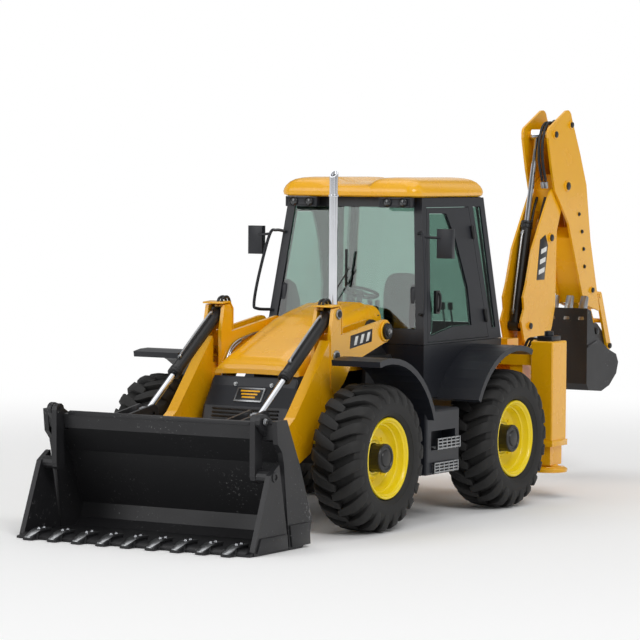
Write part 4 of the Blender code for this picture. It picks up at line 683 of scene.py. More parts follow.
# ------------------------------------------------------------------ wheels
@dataclass
class Wheels:
    """Lugged tyres and dished discs, four of each, with their hub caps."""

    x: float = 62.2
    centre_z: float = 37.8
    lug_radius: float = 37.7
    lugs: int = 22
    root_shrink: Point = (0.82, 0.88, 0.86)   # a lug's buried foot, as a share of its crown
    rim_steps: int = 72
    carcass: Outline = ((-11.4, 21.4), (-12.6, 22.4), (-13.2, 23.4), (-13.5, 23.5), (-13.9, 25.4),
                        (-14.1, 28.0),
                        (-13.4, 31.4), (-11.4, 33.6), (-8.0, 34.4), (0.0, 34.7), (8.0, 34.4), (11.4, 33.6),
                        (13.4, 31.4), (14.1, 28.0), (13.9, 25.4), (13.5, 23.5), (13.2, 23.4), (12.6, 22.4),
                        (11.4, 21.4))
    disc: Outline = ((-11.85, 19.9), (-11.85, 20.9), (11.6, 20.9), (12.0, 20.6), (12.1, 20.1), (11.7, 19.5),
                     (10.9, 19.1), (10.4, 18.4), (8.0, 17.9), (7.3, 17.5), (7.0, 16.9), (3.9, 15.9),
                     (3.3, 15.4),
                     (2.6, 13.0), (2.4, 11.0), (2.9, 10.3), (3.6, 10.0), (3.7, 9.2), (3.2, 8.4), (3.2, 7.6),
                     (-3.4, 7.6), (-3.4, 10.7), (-2.0, 16.9), (-9.3, 18.1))
    cap: Outline = ((0.0, 7.5), (1.6, 7.5), (2.1, 7.1), (2.2, 6.0), (1.7, 5.6), (1.7, 4.4), (2.3, 4.0),
                    (2.5, 3.0),
                    (2.6, 0.02), (0.0, 0.02))
    nut_circle: float = 12.4
    nuts: int = 8

    def lug(self, side: Side) -> bpy.types.Object:
        """One tractor lug, from the tread's middle over the shoulder.

        Args:
            side: the half of the tread that it stands on.

        Returns:
            The lug at the top of a wheel in the centre plane, on the rear axle.
        """
        crown = ((-1.6, 37.6), (2.2, self.lug_radius), (6.0, self.lug_radius), (9.8, 37.1), (12.5, 35.2),
                 (14.0, 32.2),
                 (14.2, 28.6))
        lean = (-3.0, -1.3, 0.6, 2.6, 4.2, 5.2, 5.8)
        width = (1.9, 2.7, 2.9, 3.1, 3.3, 3.1, 2.2)
        clear_selection()
        bpy.ops.mesh.primitive_grid_add(x_subdivisions=len(crown) - 1, y_subdivisions=2, size=2.0)
        item = claim("lug")
        last = len(crown) - 1
        for corner in item.data.vertices:
            step = round((corner.co.x + 1) / 2 * last)
            x, radius = crown[step]
            around = (lean[step] + corner.co.y * width[step]) / self.lug_radius
            corner.co = self.turned_place(side.value * x, around, radius)
        pick(item, lambda face: True)
        bpy.ops.mesh.extrude_region_move()
        work = bmesh.from_edit_mesh(item.data)
        hub = at(0, 0, self.centre_z)
        for corner in [v for v in work.verts if v.select]:
            offset = corner.co - hub
            root = Vector([part * shrink for part, shrink in zip(offset, self.root_shrink)])
            corner.co = hub + root
        bmesh.update_edit_mesh(item.data)
        bpy.ops.object.mode_set(mode="OBJECT")
        return soften(outwards(item), 0.45, 2, 40.0)

    def turned_place(self, x: float, angle: float, radius: float) -> Vector:
        """A place on the wheel at an angle from its top."""
        return at(x, radius * math.sin(angle), self.centre_z + radius * math.cos(angle))

    def spun(self, item: bpy.types.Object, count: int, offset: float = 0.0) -> list[bpy.types.Object]:
        """Copies of a piece spaced evenly round the wheel."""
        middle = Matrix.Translation(at(0, 0, self.centre_z))
        made = []
        for i in range(count):
            turn = Matrix.Rotation(math.tau * (i + offset) / count, 4, "X")
            made.append(copy_of(item, middle @ turn @ middle.inverted()))
        return made

    def build(self) -> None:
        """Model one tyre, one disc and one cap, and copy them to the four places."""
        carcass = lathe("carcass", self.carcass, (0, 0, self.centre_z), self.rim_steps)
        lugs = []
        for side in Side:
            first = self.lug(side)
            lugs += self.spun(first, self.lugs, 0.5 if side is Side.RIGHT else 0.0)
            bpy.data.objects.remove(first)
        tyre = merge("tyre", [carcass, *lugs])
        nut = bolt("wheel_nut", (2.3, 0, self.centre_z + self.nut_circle), (1, 0, 0), 0.75, 1.0)
        nuts = self.spun(nut, self.nuts)
        bpy.data.objects.remove(nut)
        disc = merge("disc", [lathe("disc", self.disc, (0, 0, self.centre_z), self.rim_steps), *nuts])
        cap = lathe("cap", self.cap, (0, 0, self.centre_z), 48)
        for side in Side:
            for axle in Axle:
                self.place(side, axle, tyre, disc, cap)
        for item in (tyre, disc, cap):
            bpy.data.objects.remove(item)

    def place(self, side: Side, axle: Axle, *items: bpy.types.Object) -> None:
        """Put a wheel's three pieces on one axle end.

        Args:
            side: which side.
            axle: which axle.
            items: tyre, disc and cap at the middle of the rear axle.
        """
        word = f"{axle.label}_{side.label}"
        flip = Matrix.Scale(side.value, 4, Vector((1, 0, 0)))
        shift = Matrix.Translation(Vector((side.value * self.x, axle.value, 0)) * MM)
        tyre, disc = (copy_of(item, shift @ flip) for item in items[:2])
        end = Matrix.Translation(Vector((side.value * 70.9, axle.value, 0)) * MM)
        cap = copy_of(items[2], end @ flip)
        tyre.name, disc.name, cap.name = word + "_lugged_tyre", word + "_dished_disc", word + "_hub_cap"
        fit(tyre, word + "_wheel", RUBBER, "tyre_rubber", word + "_tyre")
        fit(disc, word + "_wheel", LEMON_ABS, "rim_yellow", word + "_rim")
        fit(cap, side.label + "_knuckle" if axle is Axle.FRONT else "chassis", BLACK_ZINC, "frame_black")


# ------------------------------------------------------------------ bonnet, grille and exhaust
@dataclass
class Nose:
    """The bonnet's pressed skin, the grille's badge and louvres, the exhaust's fittings, and a black sleeve in
    the exhaust's mouth that paints the shade inside its bore.
    """

    half: float = 26.0
    base: float = 78.1
    wall: float = 1.5
    shoulder: float = 7.0
    top: Outline = ((-147.3, 78.3), (-147.25, 81.0), (-146.2, 83.3), (-143.4, 85.8), (-136.0, 89.2),
                    (-121.3, 94.9),
                    (-108.0, 100.3), (-95.3, 105.0), (-80.0, 108.9), (-64.2, 112.0))
    exhaust: tuple[float, float] = (20.5, -105.0)
    tip_slope: float = 0.9    # rise over run of the slant at the exhaust's mouth

    def top_at(self, share: float) -> tuple[float, float]:
        """A place on the bonnet's top line, 0 at the nose and 1 at the rear."""
        spot = share * (len(self.top) - 1)
        step = min(int(spot), len(self.top) - 2)
        (y0, z0), (y1, z1) = self.top[step], self.top[step + 1]
        return y0 + (y1 - y0) * (spot - step), z0 + (z1 - z0) * (spot - step)

    def skin(self) -> bpy.types.Object:
        """The bonnet: a thin shell with round shoulders and a raised middle panel."""
        across, along = 44, 45
        clear_selection()
        bpy.ops.mesh.primitive_grid_add(x_subdivisions=across, y_subdivisions=along, size=2.0)
        item = claim("bonnet_skin")
        for corner in item.data.vertices:
            u, share = corner.co.x, (corner.co.y + 1) / 2
            corner.co = self.skin_place(u, share)
        outwards_up = item.data.polygons[len(item.data.polygons) // 2].normal.z > 0
        if not outwards_up:
            item.data.flip_normals()
        apply_modifier(item, "SOLIDIFY", thickness=self.wall * MM, offset=-1.0)
        return soften(item, 0.0, angle=40.0)

    def skin_place(self, u: float, share: float) -> Vector:
        """Where the shell's grid goes.

        Args:
            u: from -1 at the right skirt to 1 at the left skirt.
            share: from 0 at the nose to 1 at the rear.

        Returns:
            The place in metres.
        """
        y, z = self.top_at(share)
        height = max(z - self.base, 0.1)
        radius = min(self.shoulder, height * 0.9)
        flat = self.half - radius
        skirt = height - radius
        length = flat + radius * math.pi / 2 + skirt
        walk = abs(u) * length
        if walk < flat:
            x, drop = walk, 0.0
        elif walk < flat + radius * math.pi / 2:
            angle = (walk - flat) / radius
            x, drop = flat + radius * math.sin(angle), radius * (1 - math.cos(angle))
        else:
            x, drop = self.half, radius + (walk - flat - radius * math.pi / 2)
        panel = max(0.0, min(1.0, (14.5 - x) / 1.6)) * max(0.0, min(1.0, (share - 0.3) / 0.04))
        lift = 0.9 * panel * panel * (3 - 2 * panel) - 0.7 * (x / self.half) ** 2
        return at(math.copysign(x, u), y, z - drop + (lift if drop < radius else 0.0))

    def badge(self) -> None:
        """A framed plate with three plain bars on the grille's slope."""
        y0, z0, y1, z1 = -151.3, 71.2, -156.0, 64.3
        out = Vector((0, -0.826, 0.564))
        rows = [Vector((0, y0, z0)), Vector((0, y1, z1))]

        def patch(name: str, half: float, a: float, b: float, rise: float, finish: Finish) -> None:
            p, q = rows[0].lerp(rows[1], a), rows[0].lerp(rows[1], b)
            low, high = q - out * 0.3, q + out * rise
            outline = [(low.y, low.z), (high.y, high.z), ((p + out * rise).y, (p + out * rise).z),
                       ((p - out * 0.3).y, (p - out * 0.3).z)]
            fit(prism(name, outline, -half, half, 0.15), "chassis", finish, "black_plastic")

        patch("badge_frame", 8.4, 0.0, 1.0, 0.5, NICKEL)
        patch("badge_plate", 7.6, 0.1, 0.9, 0.62, DARK_FILM)
        for i in range(3):
            start = 0.2 + i * 0.22
            patch(f"badge_bar_{i}", 5.8 - i * 0.9, start, start + 0.12, 0.75, ENAMEL)

    def build(self) -> None:
        """Model the nose."""
        fit(self.skin(), "bonnet", ENAMEL, "yellow_paint", "bonnet")
        self.badge()
        bolts = [bolt("grille_bolt", (x, -149.9, 72.9), (0, -0.92, 0.39), 0.9, 0.9) for x in (-11, 11)]
        fit(merge("grille_bolts", bolts), "chassis", NICKEL, "chrome")
        louvres = []
        for i in range(6):
            z = 60.6 - i * 1.9
            y = -157.25 - (62 - z) / 4
            louvres.append(slab("louvre", (-20, y - 0.9, z - 0.5), (20, y + 1.0, z + 0.4), 0.3))
        fit(merge("grille_louvres", louvres), "chassis", BLACK_ZINC, "black_plastic")
        x, y = self.exhaust
        collar = lathe("exhaust_collar", [(-0.6, 2.5), (-0.6, 4.6), (0.3, 4.6), (0.8, 3.4), (2.6, 3.1),
                                          (2.6, 2.5)],
                       (x, y, 101.2), 40, (0, 0, 1))
        fit(collar, "bonnet", VINYL, "black_plastic")
        bands = [lathe("band", [(-0.5, 2.35), (-0.5, 2.75), (0.5, 2.75), (0.5, 2.35)], (x, y, z), 36,
                       (0, 0, 1), 0.1)
                 for z in (106.0, 170.5)]
        fit(merge("exhaust_bands", bands), "bonnet", CHROME, "chrome")
        stack = rod("exhaust_pipe", (x, y, 92), (x, y, 182.0), 2.3, -2.5, 40, 0.0)
        self.slant(stack, y, 170.0)
        fit(stack, "bonnet", CHROME, "chrome", "exhaust_stack")
        # Painted shade: a black sleeve inside the pipe's top stands in for the shade down the bore, where the
        # chrome would otherwise show bright.
        mouth = rod("exhaust_bore_painted_shade", (x, y, 176), (x, y, 180.4), 1.6, -0.3, 32, 0.0)
        self.slant(mouth, y, 170.0)
        fit(mouth, "bonnet", BLACK_ZINC, "black_plastic")

    def slant(self, item: bpy.types.Object, y: float, above: float) -> None:
        """Cut a pipe's top on a slant that falls towards the nose.

        Args:
            item: the pipe.
            y: its axis's place.
            above: only what stands above this height is moved.
        """
        for corner in item.data.vertices:
            if corner.co.z > above * MM:
                corner.co.z += (corner.co.y - (y + ORIGIN_Y) * MM) * self.tip_slope


# ------------------------------------------------------------------ cab
@dataclass
class Cab:
    """Roof, lamps, handles, hinges, mirrors, steering wheel and seat."""

    roof_front: float = -57.5
    roof_rear: float = 22.5
    roof_half: float = 43.5
    corner_points: int = 9
    dip: float = 3.2          # depth of the valley between the roof's lobes
    dip_half: float = 13.5    # the valley's half width
    dip_slope: float = 1.3    # how gently its sides rise

    def plan(self, inset: float, corner: float, z: float, crown: bool) -> list[tuple[float, float, float]]:
        """The roof's rounded plan at one height.

        Args:
            inset: how far it is drawn in from its widest.
            corner: its corner radius.
            z: its height.
            crown: whether the middle valley shows at this height.

        Returns:
            Places in order round the roof.
        """
        half = self.roof_half - inset
        front, rear = self.roof_front + inset, self.roof_rear - inset
        corner = max(min(corner, half - 1, (rear - front) / 2 - 1), 0.5)
        spots = []
        for cx, cy, start in ((half - corner, rear - corner, 0), (-half + corner, rear - corner, 90),
                              (-half + corner, front + corner, 180), (half - corner, front + corner, 270)):
            for i in range(self.corner_points):
                a = math.radians(start + 90 * i / (self.corner_points - 1))
                spots.append((cx + corner * math.cos(a), cy + corner * math.sin(a)))
            if start in (0, 180):
                sign = 1 if start == 0 else -1
                y = rear if start == 0 else front
                spots += [(sign * t * (half - corner) / 13, y) for t in
                          (9, 7.2, 6.2, 5.6, 5.1, 4.7, 4.2, 3.4, 0, -3.4, -4.2, -4.7, -5.1, -5.6, -6.2,
                           -7.2, -9)]
        made = []
        for x, y in spots:
            valley = self.dip / (1 + math.exp((abs(x) - self.dip_half) / self.dip_slope)) if crown else 0.0
            made.append((x, y, z - valley))
        return made

    def roof(self) -> bpy.types.Object:
        """The two-lobed roof."""
        steps = ((1.6, 7, 169.4, 0), (0.3, 7, 170.2, 0), (0.0, 7, 171.8, 0), (0.3, 7, 173.4, 0),
                 (1.1, 7, 175.2, 0),
                 (2.6, 7, 177.2, 1), (4.8, 7, 178.7, 1), (8.0, 7, 179.6, 1), (12.5, 7, 180.0, 1),
                 (18.0, 6, 180.0, 1), (22.0, 5, 180.0, 1),
                 (25.0, 4, 180.0, 1), (28.0, 3, 180.0, 1), (31.0, 2, 180.0, 1), (35.0, 1, 180.0, 1))
        return loft("roof_skin", [self.plan(inset, corner, z, bool(c)) for inset, corner, z, c in steps])

    def lamps(self) -> None:
        """Two lamp housings under each end of the roof, two round lamps in each."""
        for side in Side:
            for word, y, facing in (("front", -54.6, -1), ("rear", 20.2, 1)):
                x0, x1 = side.value * 19.5, side.value * 39.5
                name = f"{word}_{side.label}"
                shell = slab(name + "_lamp_housing", (min(x0, x1), y - 2.0, 163.8),
                             (max(x0, x1), y + 2.0, 169.3), 1.0,
                             ((0, facing, 0), 0.9, -0.5))
                fit(shell, "chassis", BLACK_ABS, "black_plastic")
                for i, x in enumerate((24.6, 34.4)):
                    centre = (side.value * x, y + facing * 1.7, 166.5)
                    lens = lathe(f"{name}_lamp_{i}", [(-0.4, 2.15), (0.3, 2.15), (0.55, 1.9), (0.8, 1.2),
                                                      (0.9, 0.02),
                                 (-0.4, 0.02)], centre, 32, (0, facing, 0))
                    fit(lens, "chassis", SMOKED, "black_plastic")
                    rim = lathe(f"{name}_lamp_rim_{i}",
                                [(-0.4, 2.1), (-0.4, 2.6), (0.5, 2.55), (0.75, 2.3), (0.5, 2.1)],
                                centre, 32, (0, facing, 0))
                    fit(rim, "chassis", BLACK_ZINC, "black_plastic")

    def mirror(self, side: Side) -> None:
        """One mirror: bent tube bracket, rounded head and silvered face."""
        s = side.value
        high, low = (s * 42.3, -52.9, 150.0), (s * 46.8, -58.9, 107.0)
        tube = pipe("tube", [high, (s * 45.6, -56.2, 150.6), (s * 48.4, -58.6, 148.0), (s * 52.2, -63.3,
                                                                                        126.0),
                             (s * 53.6, -66.0, 110.5), (s * 51.8, -65.4, 107.6), low], 0.85)
        stub = pipe("stub", [(s * 48.2, -58.4, 148.6), (s * 53.0, -56.8, 148.2), (s * 59.6, -54.4,
                                                                                  148.0)], 0.75)
        x, y, z = s * 59.6, -53.9, 145.0
        head = slab("head", (x - 4.6, y - 1.9, z - 7.8), (x + 4.6, y + 1.5, z + 7.8), 1.6,
                    ((0, 1, 0), 0.8, -0.25))
        body = side.label + "_mirror"
        fit(merge(body + "_bracket_and_head", [head, tube, stub]), body, BLACK_ABS, "black_plastic", body)
        face = slab(body + "_face", (x - 3.6, y + 1.0, z - 6.8), (x + 3.6, y + 1.45, z + 6.8), 0.15)
        fit(face, body, CHROME, "chrome")

    def door_fittings(self, side: Side) -> None:
        """Handle and hinges of one door."""
        s, body = side.value, side.label + "_door"
        handle = pipe("handle", [(s * 47.8, -43.5, 108.6), (s * 50.3, -43.6, 109.4), (s * 50.3, -43.0, 117.0),
                                 (s * 47.0, -42.8, 118.2)], 0.7)
        plate = slab("plate", (s * 48.6 - 0.8, -45.6, 107), (s * 48.6 + 0.8, -41.4, 119.4), 0.5)
        fit(merge(body + "_handle", [handle, plate]), body, BLACK_ZINC, "black_plastic")
        hinges = []
        for z in (104.0, 150.0):
            share = (z - 91) / 78
            x, y = s * (50.9 - 8 * share), 13.6 - 12 * share
            hinges.append(rod("hinge", (x, y, z - 3.4), (x - s * 0.7, y - 1.05, z + 3.4), 1.25, 0.2))
        fit(merge(body + "_hinges", hinges), "chassis", BLACK_ZINC, "black_plastic")

    def grab_rail(self, side: Side) -> None:
        """The bulged scuttle cover by the door's front, with its bright edge."""
        s = side.value
        bulge = prism("bulge", [(-57.5, 92), (-44, 92), (-40.5, 97), (-41, 112), (-45.5, 121), (-52.5, 124),
                                (-55.6, 121)], s * 38.5, s * 43.0, 1.2)
        fit(merge(side.label + "_inner_cowl", [bulge]), "chassis", BLACK_ABS, "black_plastic")
        edge = pipe(side.label + "_cowl_edge", [(s * 43.2, -44.2, 93), (s * 43.2, -40.9, 98), (s * 43.2,
                                                                                               -41.3, 112),
                                                (s * 43.2, -45.6, 120.6)], 0.45)
        fit(edge, "chassis", CHROME, "chrome")

    def interior(self) -> None:
        """Steering wheel, dashboard top, levers and seat."""
        centre, axis = Vector((0, -41.4, 117.0)), Vector((0, 5.1, 14.3)).normalized()
        rim = lathe("rim", [(0.9 * math.cos(a), 9.5 + 0.9 * math.sin(a)) for a in
                            (math.tau * i / 10 for i in range(10))], centre, 48, axis)
        hub = rod("hub", centre - axis * 1.5, centre + axis * 0.7, 2.3, 0.25)
        across, up = Vector((1, 0, 0)), axis.cross(Vector((1, 0, 0)))
        spokes = []
        for angle in (30, 150, 270):
            a = math.radians(angle)
            out = across * math.cos(a) + up * math.sin(a)
            spokes.append(pipe("spoke", [centre + out * 1.8, centre + out * 5.0 - axis * 0.5,
                                         centre + out * 9.2], 0.65))
        fit(merge("steering_wheel_rim", [rim, hub, *spokes]), "steering_wheel", VINYL, "black_plastic",
            "steering_wheel")
        binnacle = prism("instrument_binnacle", [(-56, 104.3), (-43.5, 104.3), (-44.6, 107.2), (-52,
                                                                                                110.8),
                                                 (-56, 109)],
                         -11, 11, 0.9)
        fit(binnacle, "chassis", BLACK_ABS, "black_plastic")
        levers = []
        for x in (-26, -21, 21, 26):
            levers += [pipe("lever", [(x, 14, 82), (x, 14.5, 96), (x * 0.98, 12.5, 107)], 0.5),
                       rod("knob", (x * 0.98, 12.6, 106.4), (x * 0.98, 12.1, 110.2), 1.4, 0.3)]
        fit(merge("control_levers", levers), "chassis", BLACK_ZINC, "black_plastic")
        self.seat()

    def seat(self) -> None:
        """The driver's padded seat: crowned cushion and bolstered back."""
        parts = []
        for name, low, high, thin in (("cushion", (-12, -16, 84.9), (12, 7.5, 91.8), 2),
                                      ("back", (-12.4, 2.6, 89.6), (12.4, 9.2, 126.4), 1)):
            clear_selection()
            a, b = at(*low), at(*high)
            bpy.ops.mesh.primitive_cube_add(size=1.0, location=(a + b) / 2)
            bpy.context.object.scale = b - a
            item = claim(name)
            pick(item, lambda face: True)
            bpy.ops.mesh.subdivide(number_cuts=9)
            bpy.ops.object.mode_set(mode="OBJECT")
            self.pad(item, a, b, thin)
            apply_modifier(item, "SUBSURF", levels=1, render_levels=1)
            parts.append(soften(item, 0.0, angle=80.0))
        piece = merge("padded_driver_seat", parts)
        fit(piece, "driver_seat", SEAT_VINYL, "seat_fabric", "driver_seat")

    def pad(self, item: bpy.types.Object, low: Vector, high: Vector, thin: int) -> None:
        """Swell a subdivided block into a pad with sewn channels.

        Args:
            item: the block.
            low: its lowest corner.
            high: its highest corner.
            thin: the axis that it is thin along.
        """
        middle, half = (low + high) / 2, (high - low) / 2
        wide = [axis for axis in range(3) if axis != thin]
        for corner in item.data.vertices:
            part = [(corner.co[i] - middle[i]) / half[i] for i in range(3)]
            crown = 1 - 0.62 * (abs(part[wide[0]]) ** 4 + abs(part[wide[1]]) ** 4) / 2
            channel = 1 - 0.16 * math.exp(-((abs(part[0]) - 0.42) / 0.09) ** 2)
            corner.co[thin] = middle[thin] + part[thin] * half[thin] * crown * channel
            for axis, other in (wide, wide[::-1]):
                pull = 1 - 0.16 * abs(part[other]) ** 4 - 0.05 * abs(part[thin]) ** 2
                corner.co[axis] = middle[axis] + part[axis] * half[axis] * pull

    def build(self) -> None:
        """Model the cab's pieces."""
        fit(self.roof(), "chassis", ENAMEL, "yellow_paint", "cab_roof")
        self.lamps()
        for side in Side:
            self.mirror(side)
            self.door_fittings(side)
            self.grab_rail(side)
            self.step(side)
        self.interior()
        blade = pipe("wiper_arm", [(-14, -60.6, 100.5), (-8, -59.6, 114), (2, -57.4, 131)], 0.4)
        rubber = slab("wiper_blade", (-0.6, -57.9, 121), (0.4, -56.6, 141), 0.2)
        fit(merge("windscreen_wiper", [blade, rubber]), "chassis", BLACK_ZINC, "black_plastic")

    def step(self, side: Side) -> None:
        """Bright grille treads that stand out of the step box."""
        s = side.value
        for word, low, high, front, rear in (("upper", 38.2, 44.0, -85.5, -61.0),
                                             ("lower", 26.0, 31.4, -89.0, -63.0)):
            bars = []
            for i in range(4):
                z = low + i * (high - low - 0.7) / 3
                bars.append(slab("bar", (min(s * 72.4, s * 73.3), front, z),
                                 (max(s * 72.4, s * 73.3), rear, z + 0.7), 0.2))
                x = s * (65.0 + i * 2.4)
                bars.append(slab("slat", (min(x, x + s * 0.9), front, low),
                                 (max(x, x + s * 0.9), rear, low + 0.8), 0.2))
            for i in range(6):
                y = front + i * (rear - front - 0.8) / 5
                bars.append(slab("post", (min(s * 72.3, s * 73.4), y, low),
                                 (max(s * 72.3, s * 73.4), y + 0.8, high), 0.2))
                bars.append(slab("tie", (min(s * 64.6, s * 73.2), y, low - 0.3),
                                 (max(s * 64.6, s * 73.2), y + 0.8, low + 0.4),
                                 0.15))
            fit(merge(f"{side.label}_{word}_tread", bars), "chassis", NICKEL, "chrome")


# ------------------------------------------------------------------ loader
@dataclass
class Loader:
    """Pins, edges, fittings and decals of the loader arms, and the bucket's teeth and edges."""

    pivot: tuple[float, float] = (-83.0, 99.0)
    crowd_base: tuple[float, float] = (-131.25, 109.8)
    knee_pin: tuple[float, float] = (-133.25, 88.3)
    bucket_pivot: tuple[float, float] = (-189.05, 41.0)
    crowd_pin: tuple[float, float] = (-199.55, 60.0)
    lift_base: tuple[float, float] = (-74.0, 83.6)
    jaw_boss: tuple[float, float] = (-239.65, 36.5)
    outer_x: float = 39.5
    crowd_x: float = 33.5
    half_width: float = 69.5
    edge_y: float = -260.75
    teeth: int = 9

    def ringed_pin(self, name: str, spot: tuple[float, float], x: float, side: Side, radius: float) -> None:
        """A black pin head with a bright ring round it, on a loader arm.

        Args:
            name: the pieces' name.
            spot: its place in side view.
            x: the face that it stands on.
            side: which arm.
            radius: the ring's radius.
        """
        s = side.value
        y, z = spot
        section = [(0.0, radius * 0.6), (0.0, radius), (0.7, radius * 0.96), (0.9, radius * 0.84),
                   (0.9, radius * 0.6)]
        ring = lathe(name + "_ring", section, (s * x, y, z), 40, (s, 0, 0), 0.08)
        fit(ring, "loader_arms", NICKEL, "chrome")
        head = rod(name + "_head", (s * (x - 0.2), y, z), (s * (x + 1.3), y, z), radius * 0.64, 0.15)
        fit(head, "loader_arms", BLACK_ZINC, "frame_black")

    def arm(self, side: Side) -> None:
        """Everything on one arm."""
        s, word = side.value, side.label
        self.ringed_pin(word + "_crowd_pin", self.crowd_base, self.outer_x, side, 2.7)
        self.ringed_pin(word + "_knee_pin", self.knee_pin, self.outer_x, side, 3.1)
        y, z = self.pivot
        boss = lathe(word + "_arm_boss", [(0, 4.3), (0, 5.6), (0.6, 5.6), (0.9, 5.2), (0.9, 4.3)],
                     (s * self.outer_x, y, z), 48, (s, 0, 0), 0.08)
        fit(boss, "loader_arms", ENAMEL, "yellow_paint")
        cap = lathe(word + "_pivot_cap", [(0, 4.2), (0.7, 4.2), (0.9, 3.9), (0.7, 3.5), (0.7, 2.9), (1.2,
                                                                                                     2.6),
                    (1.2, 0.02), (0, 0.02)], (s * 41.0, y, z), 48, (s, 0, 0))
        fit(cap, "chassis", BLACK_ZINC, "frame_black")
        fit(bolt(word + "_pivot_bolt", (s * 42.1, y, z), (s, 0, 0), 1.2, 1.0), "chassis", NICKEL, "chrome")
        edge = [(-138.0, 113.4), (-136.2, 113.5), (-130.6, 113.9), (-127.9, 110.6), (-127.9, 99.4),
                (-127.1, 99.4), (-127.1, 111.0), (-130.4, 114.8), (-138.0, 114.3)]
        lips = [prism("lip", edge, s * 27.2, s * 39.8, 0.25)]
        fit(merge(word + "_knee_edge", lips), "loader_arms", ENAMEL, "yellow_paint")
        self.stripes(side)
        self.plumbing(side)
        collar = self.sleeve(word + "_crowd_gland", self.crowd_base, self.crowd_pin, s * self.crowd_x,
                             49.5, 53.6, 3.5, 1.8)
        fit(collar, word + "_crowd_ram_barrel", BLACK_ZINC, "black_plastic")
        gland = self.sleeve(word + "_lift_gland", self.lift_base, self.knee_pin, s * 34.8, 38.0, 41.5,
                            2.6, 1.4)
        fit(gland, word + "_lift_ram_barrel", BLACK_ZINC, "black_plastic")
        bushes = []
        for x in (s * (self.crowd_x - 3.6), s * (self.crowd_x + 3.6)):
            bushes.append(lathe("bush", [(-0.9, 1.7), (-0.9, 2.7), (0.9, 2.7), (0.9, 1.7)],
                                (x, *self.crowd_pin), 32, (s, 0, 0), 0.15))
        through = rod("pin", (s * (self.crowd_x - 5.0), *self.crowd_pin),
                      (s * (self.crowd_x + 5.0), *self.crowd_pin),
                      1.5, 0.1)
        fit(merge(word + "_crowd_bushes", bushes), "loader_bucket", BRASS, "chrome")
        fit(merge(word + "_crowd_cross_pin", [through]), "loader_bucket", NICKEL, "chrome")

    def sleeve(self, name: str, base: Point, tip: Point, x: float, start: float, end: float, radius: float,
               bore: float) -> bpy.types.Object:
        """A gland ring on a ram, between two distances from its base pin."""
        heading = Vector((0, tip[0] - base[0], tip[1] - base[1])).normalized()
        centre = Vector((x, base[0], base[1])) + heading * start
        length = end - start
        section = [(0, bore), (0, radius * 0.94), (0.3, radius), (length * 0.45, radius),
                   (length * 0.55, radius * 0.9),
                   (length * 0.65, radius), (length - 0.4, radius), (length, radius * 0.8), (length, bore)]
        return lathe(name, section, centre, 36, heading, 0.06)

    def stripes(self, side: Side) -> None:
        """A plain dark band with three slanted pale bars on the arm's outer plate."""
        s = side.value
        x0, x1 = s * (self.outer_x - 0.1), s * (self.outer_x + 0.12)
        band = prism("band", [(-119.5, 91.4), (-97.2, 94.2), (-96.4, 101.0), (-118.7, 98.2)], x0, x1, 0.05)
        fit(merge(side.label + "_arm_decal", [band]), "loader_arms", DARK_FILM, "black_plastic")
        bars = []
        for i in range(3):
            y = -115.6 + i * 6.2
            z = 92.9 + i * 0.78
            bars.append(prism("bar", [(y, z), (y + 2.8, z + 0.35), (y + 4.6, z + 5.0), (y + 1.8,
                                                                                        z + 4.65)], x0,
                              s * (self.outer_x + 0.2), 0.03))
        fit(merge(side.label + "_arm_decal_bars", bars), "loader_arms", PALE_FILM, "black_plastic")

    def plumbing(self, side: Side) -> None:
        """Steel pipes and unions along the arm's inner face, with a hose line over the knee."""
        s, word = side.value, side.label
        inner = s * 26.6
        lines = [pipe("line", [(inner, -93, 98), (inner, -112, 96), (inner, -128, 92 - i), (inner,
                                                                                            -135 + i, 84),
                               (inner, -140 + i * 1.5, 74)], 0.55) for i in (0, 2)]
        fit(merge(word + "_arm_pipes", lines), "loader_arms", NICKEL, "chrome")
        hoses = [pipe("hose", [(s * x, -127.5, 104), (s * x, -126.0, 111), (s * x, -128.5, 116.5),
                               (s * x, -133.5, 116.2), (s * x, -135.2, 113.0)], 0.75) for x in (30.0, 32.2)]
        fit(merge(word + "_knee_hoses", hoses), "loader_arms", VINYL, "black_plastic")
        unions = []
        for x in (30.0, 32.2):
            unions += [rod("union", (s * x, -135.0, 113.4), (s * x, -135.9, 111.6), 1.15, 0.1, 6),
                       rod("union", (s * x, -127.4, 105.2), (s * x, -127.6, 102.6), 1.15, 0.1, 6)]
        unions += [rod("clip", (inner - s * 0.9, y, z), (inner + s * 0.9, y, z), 1.0, 0.1, 6)
                   for y, z in ((-104, 96.6), (-120, 93.8))]
        fit(merge(word + "_arm_unions", unions), "loader_arms", BRASS, "chrome")
        heading = Vector((0, self.crowd_pin[0] - self.crowd_base[0],
                          self.crowd_pin[1] - self.crowd_base[1])).normalized()
        up = Vector((0, -heading.z, heading.y))
        base = Vector((s * self.crowd_x, *self.crowd_base))
        side_pipe = pipe("pipe", [base + heading * 7 - up * 3.0, base + heading * 9 - up * 4.4,
                                  base + heading * 40 - up * 4.4, base + heading * 44 - up * 2.9], 0.55)
        ends = [rod("fitting", base + heading * d - up * 2.6, base + heading * d - up * 4.4, 1.0, 0.1, 6)
                for d in (7.4, 43.6)]
        fit(merge(word + "_crowd_side_pipe", [side_pipe, *ends]), word + "_crowd_ram_barrel", NICKEL,
            "chrome")

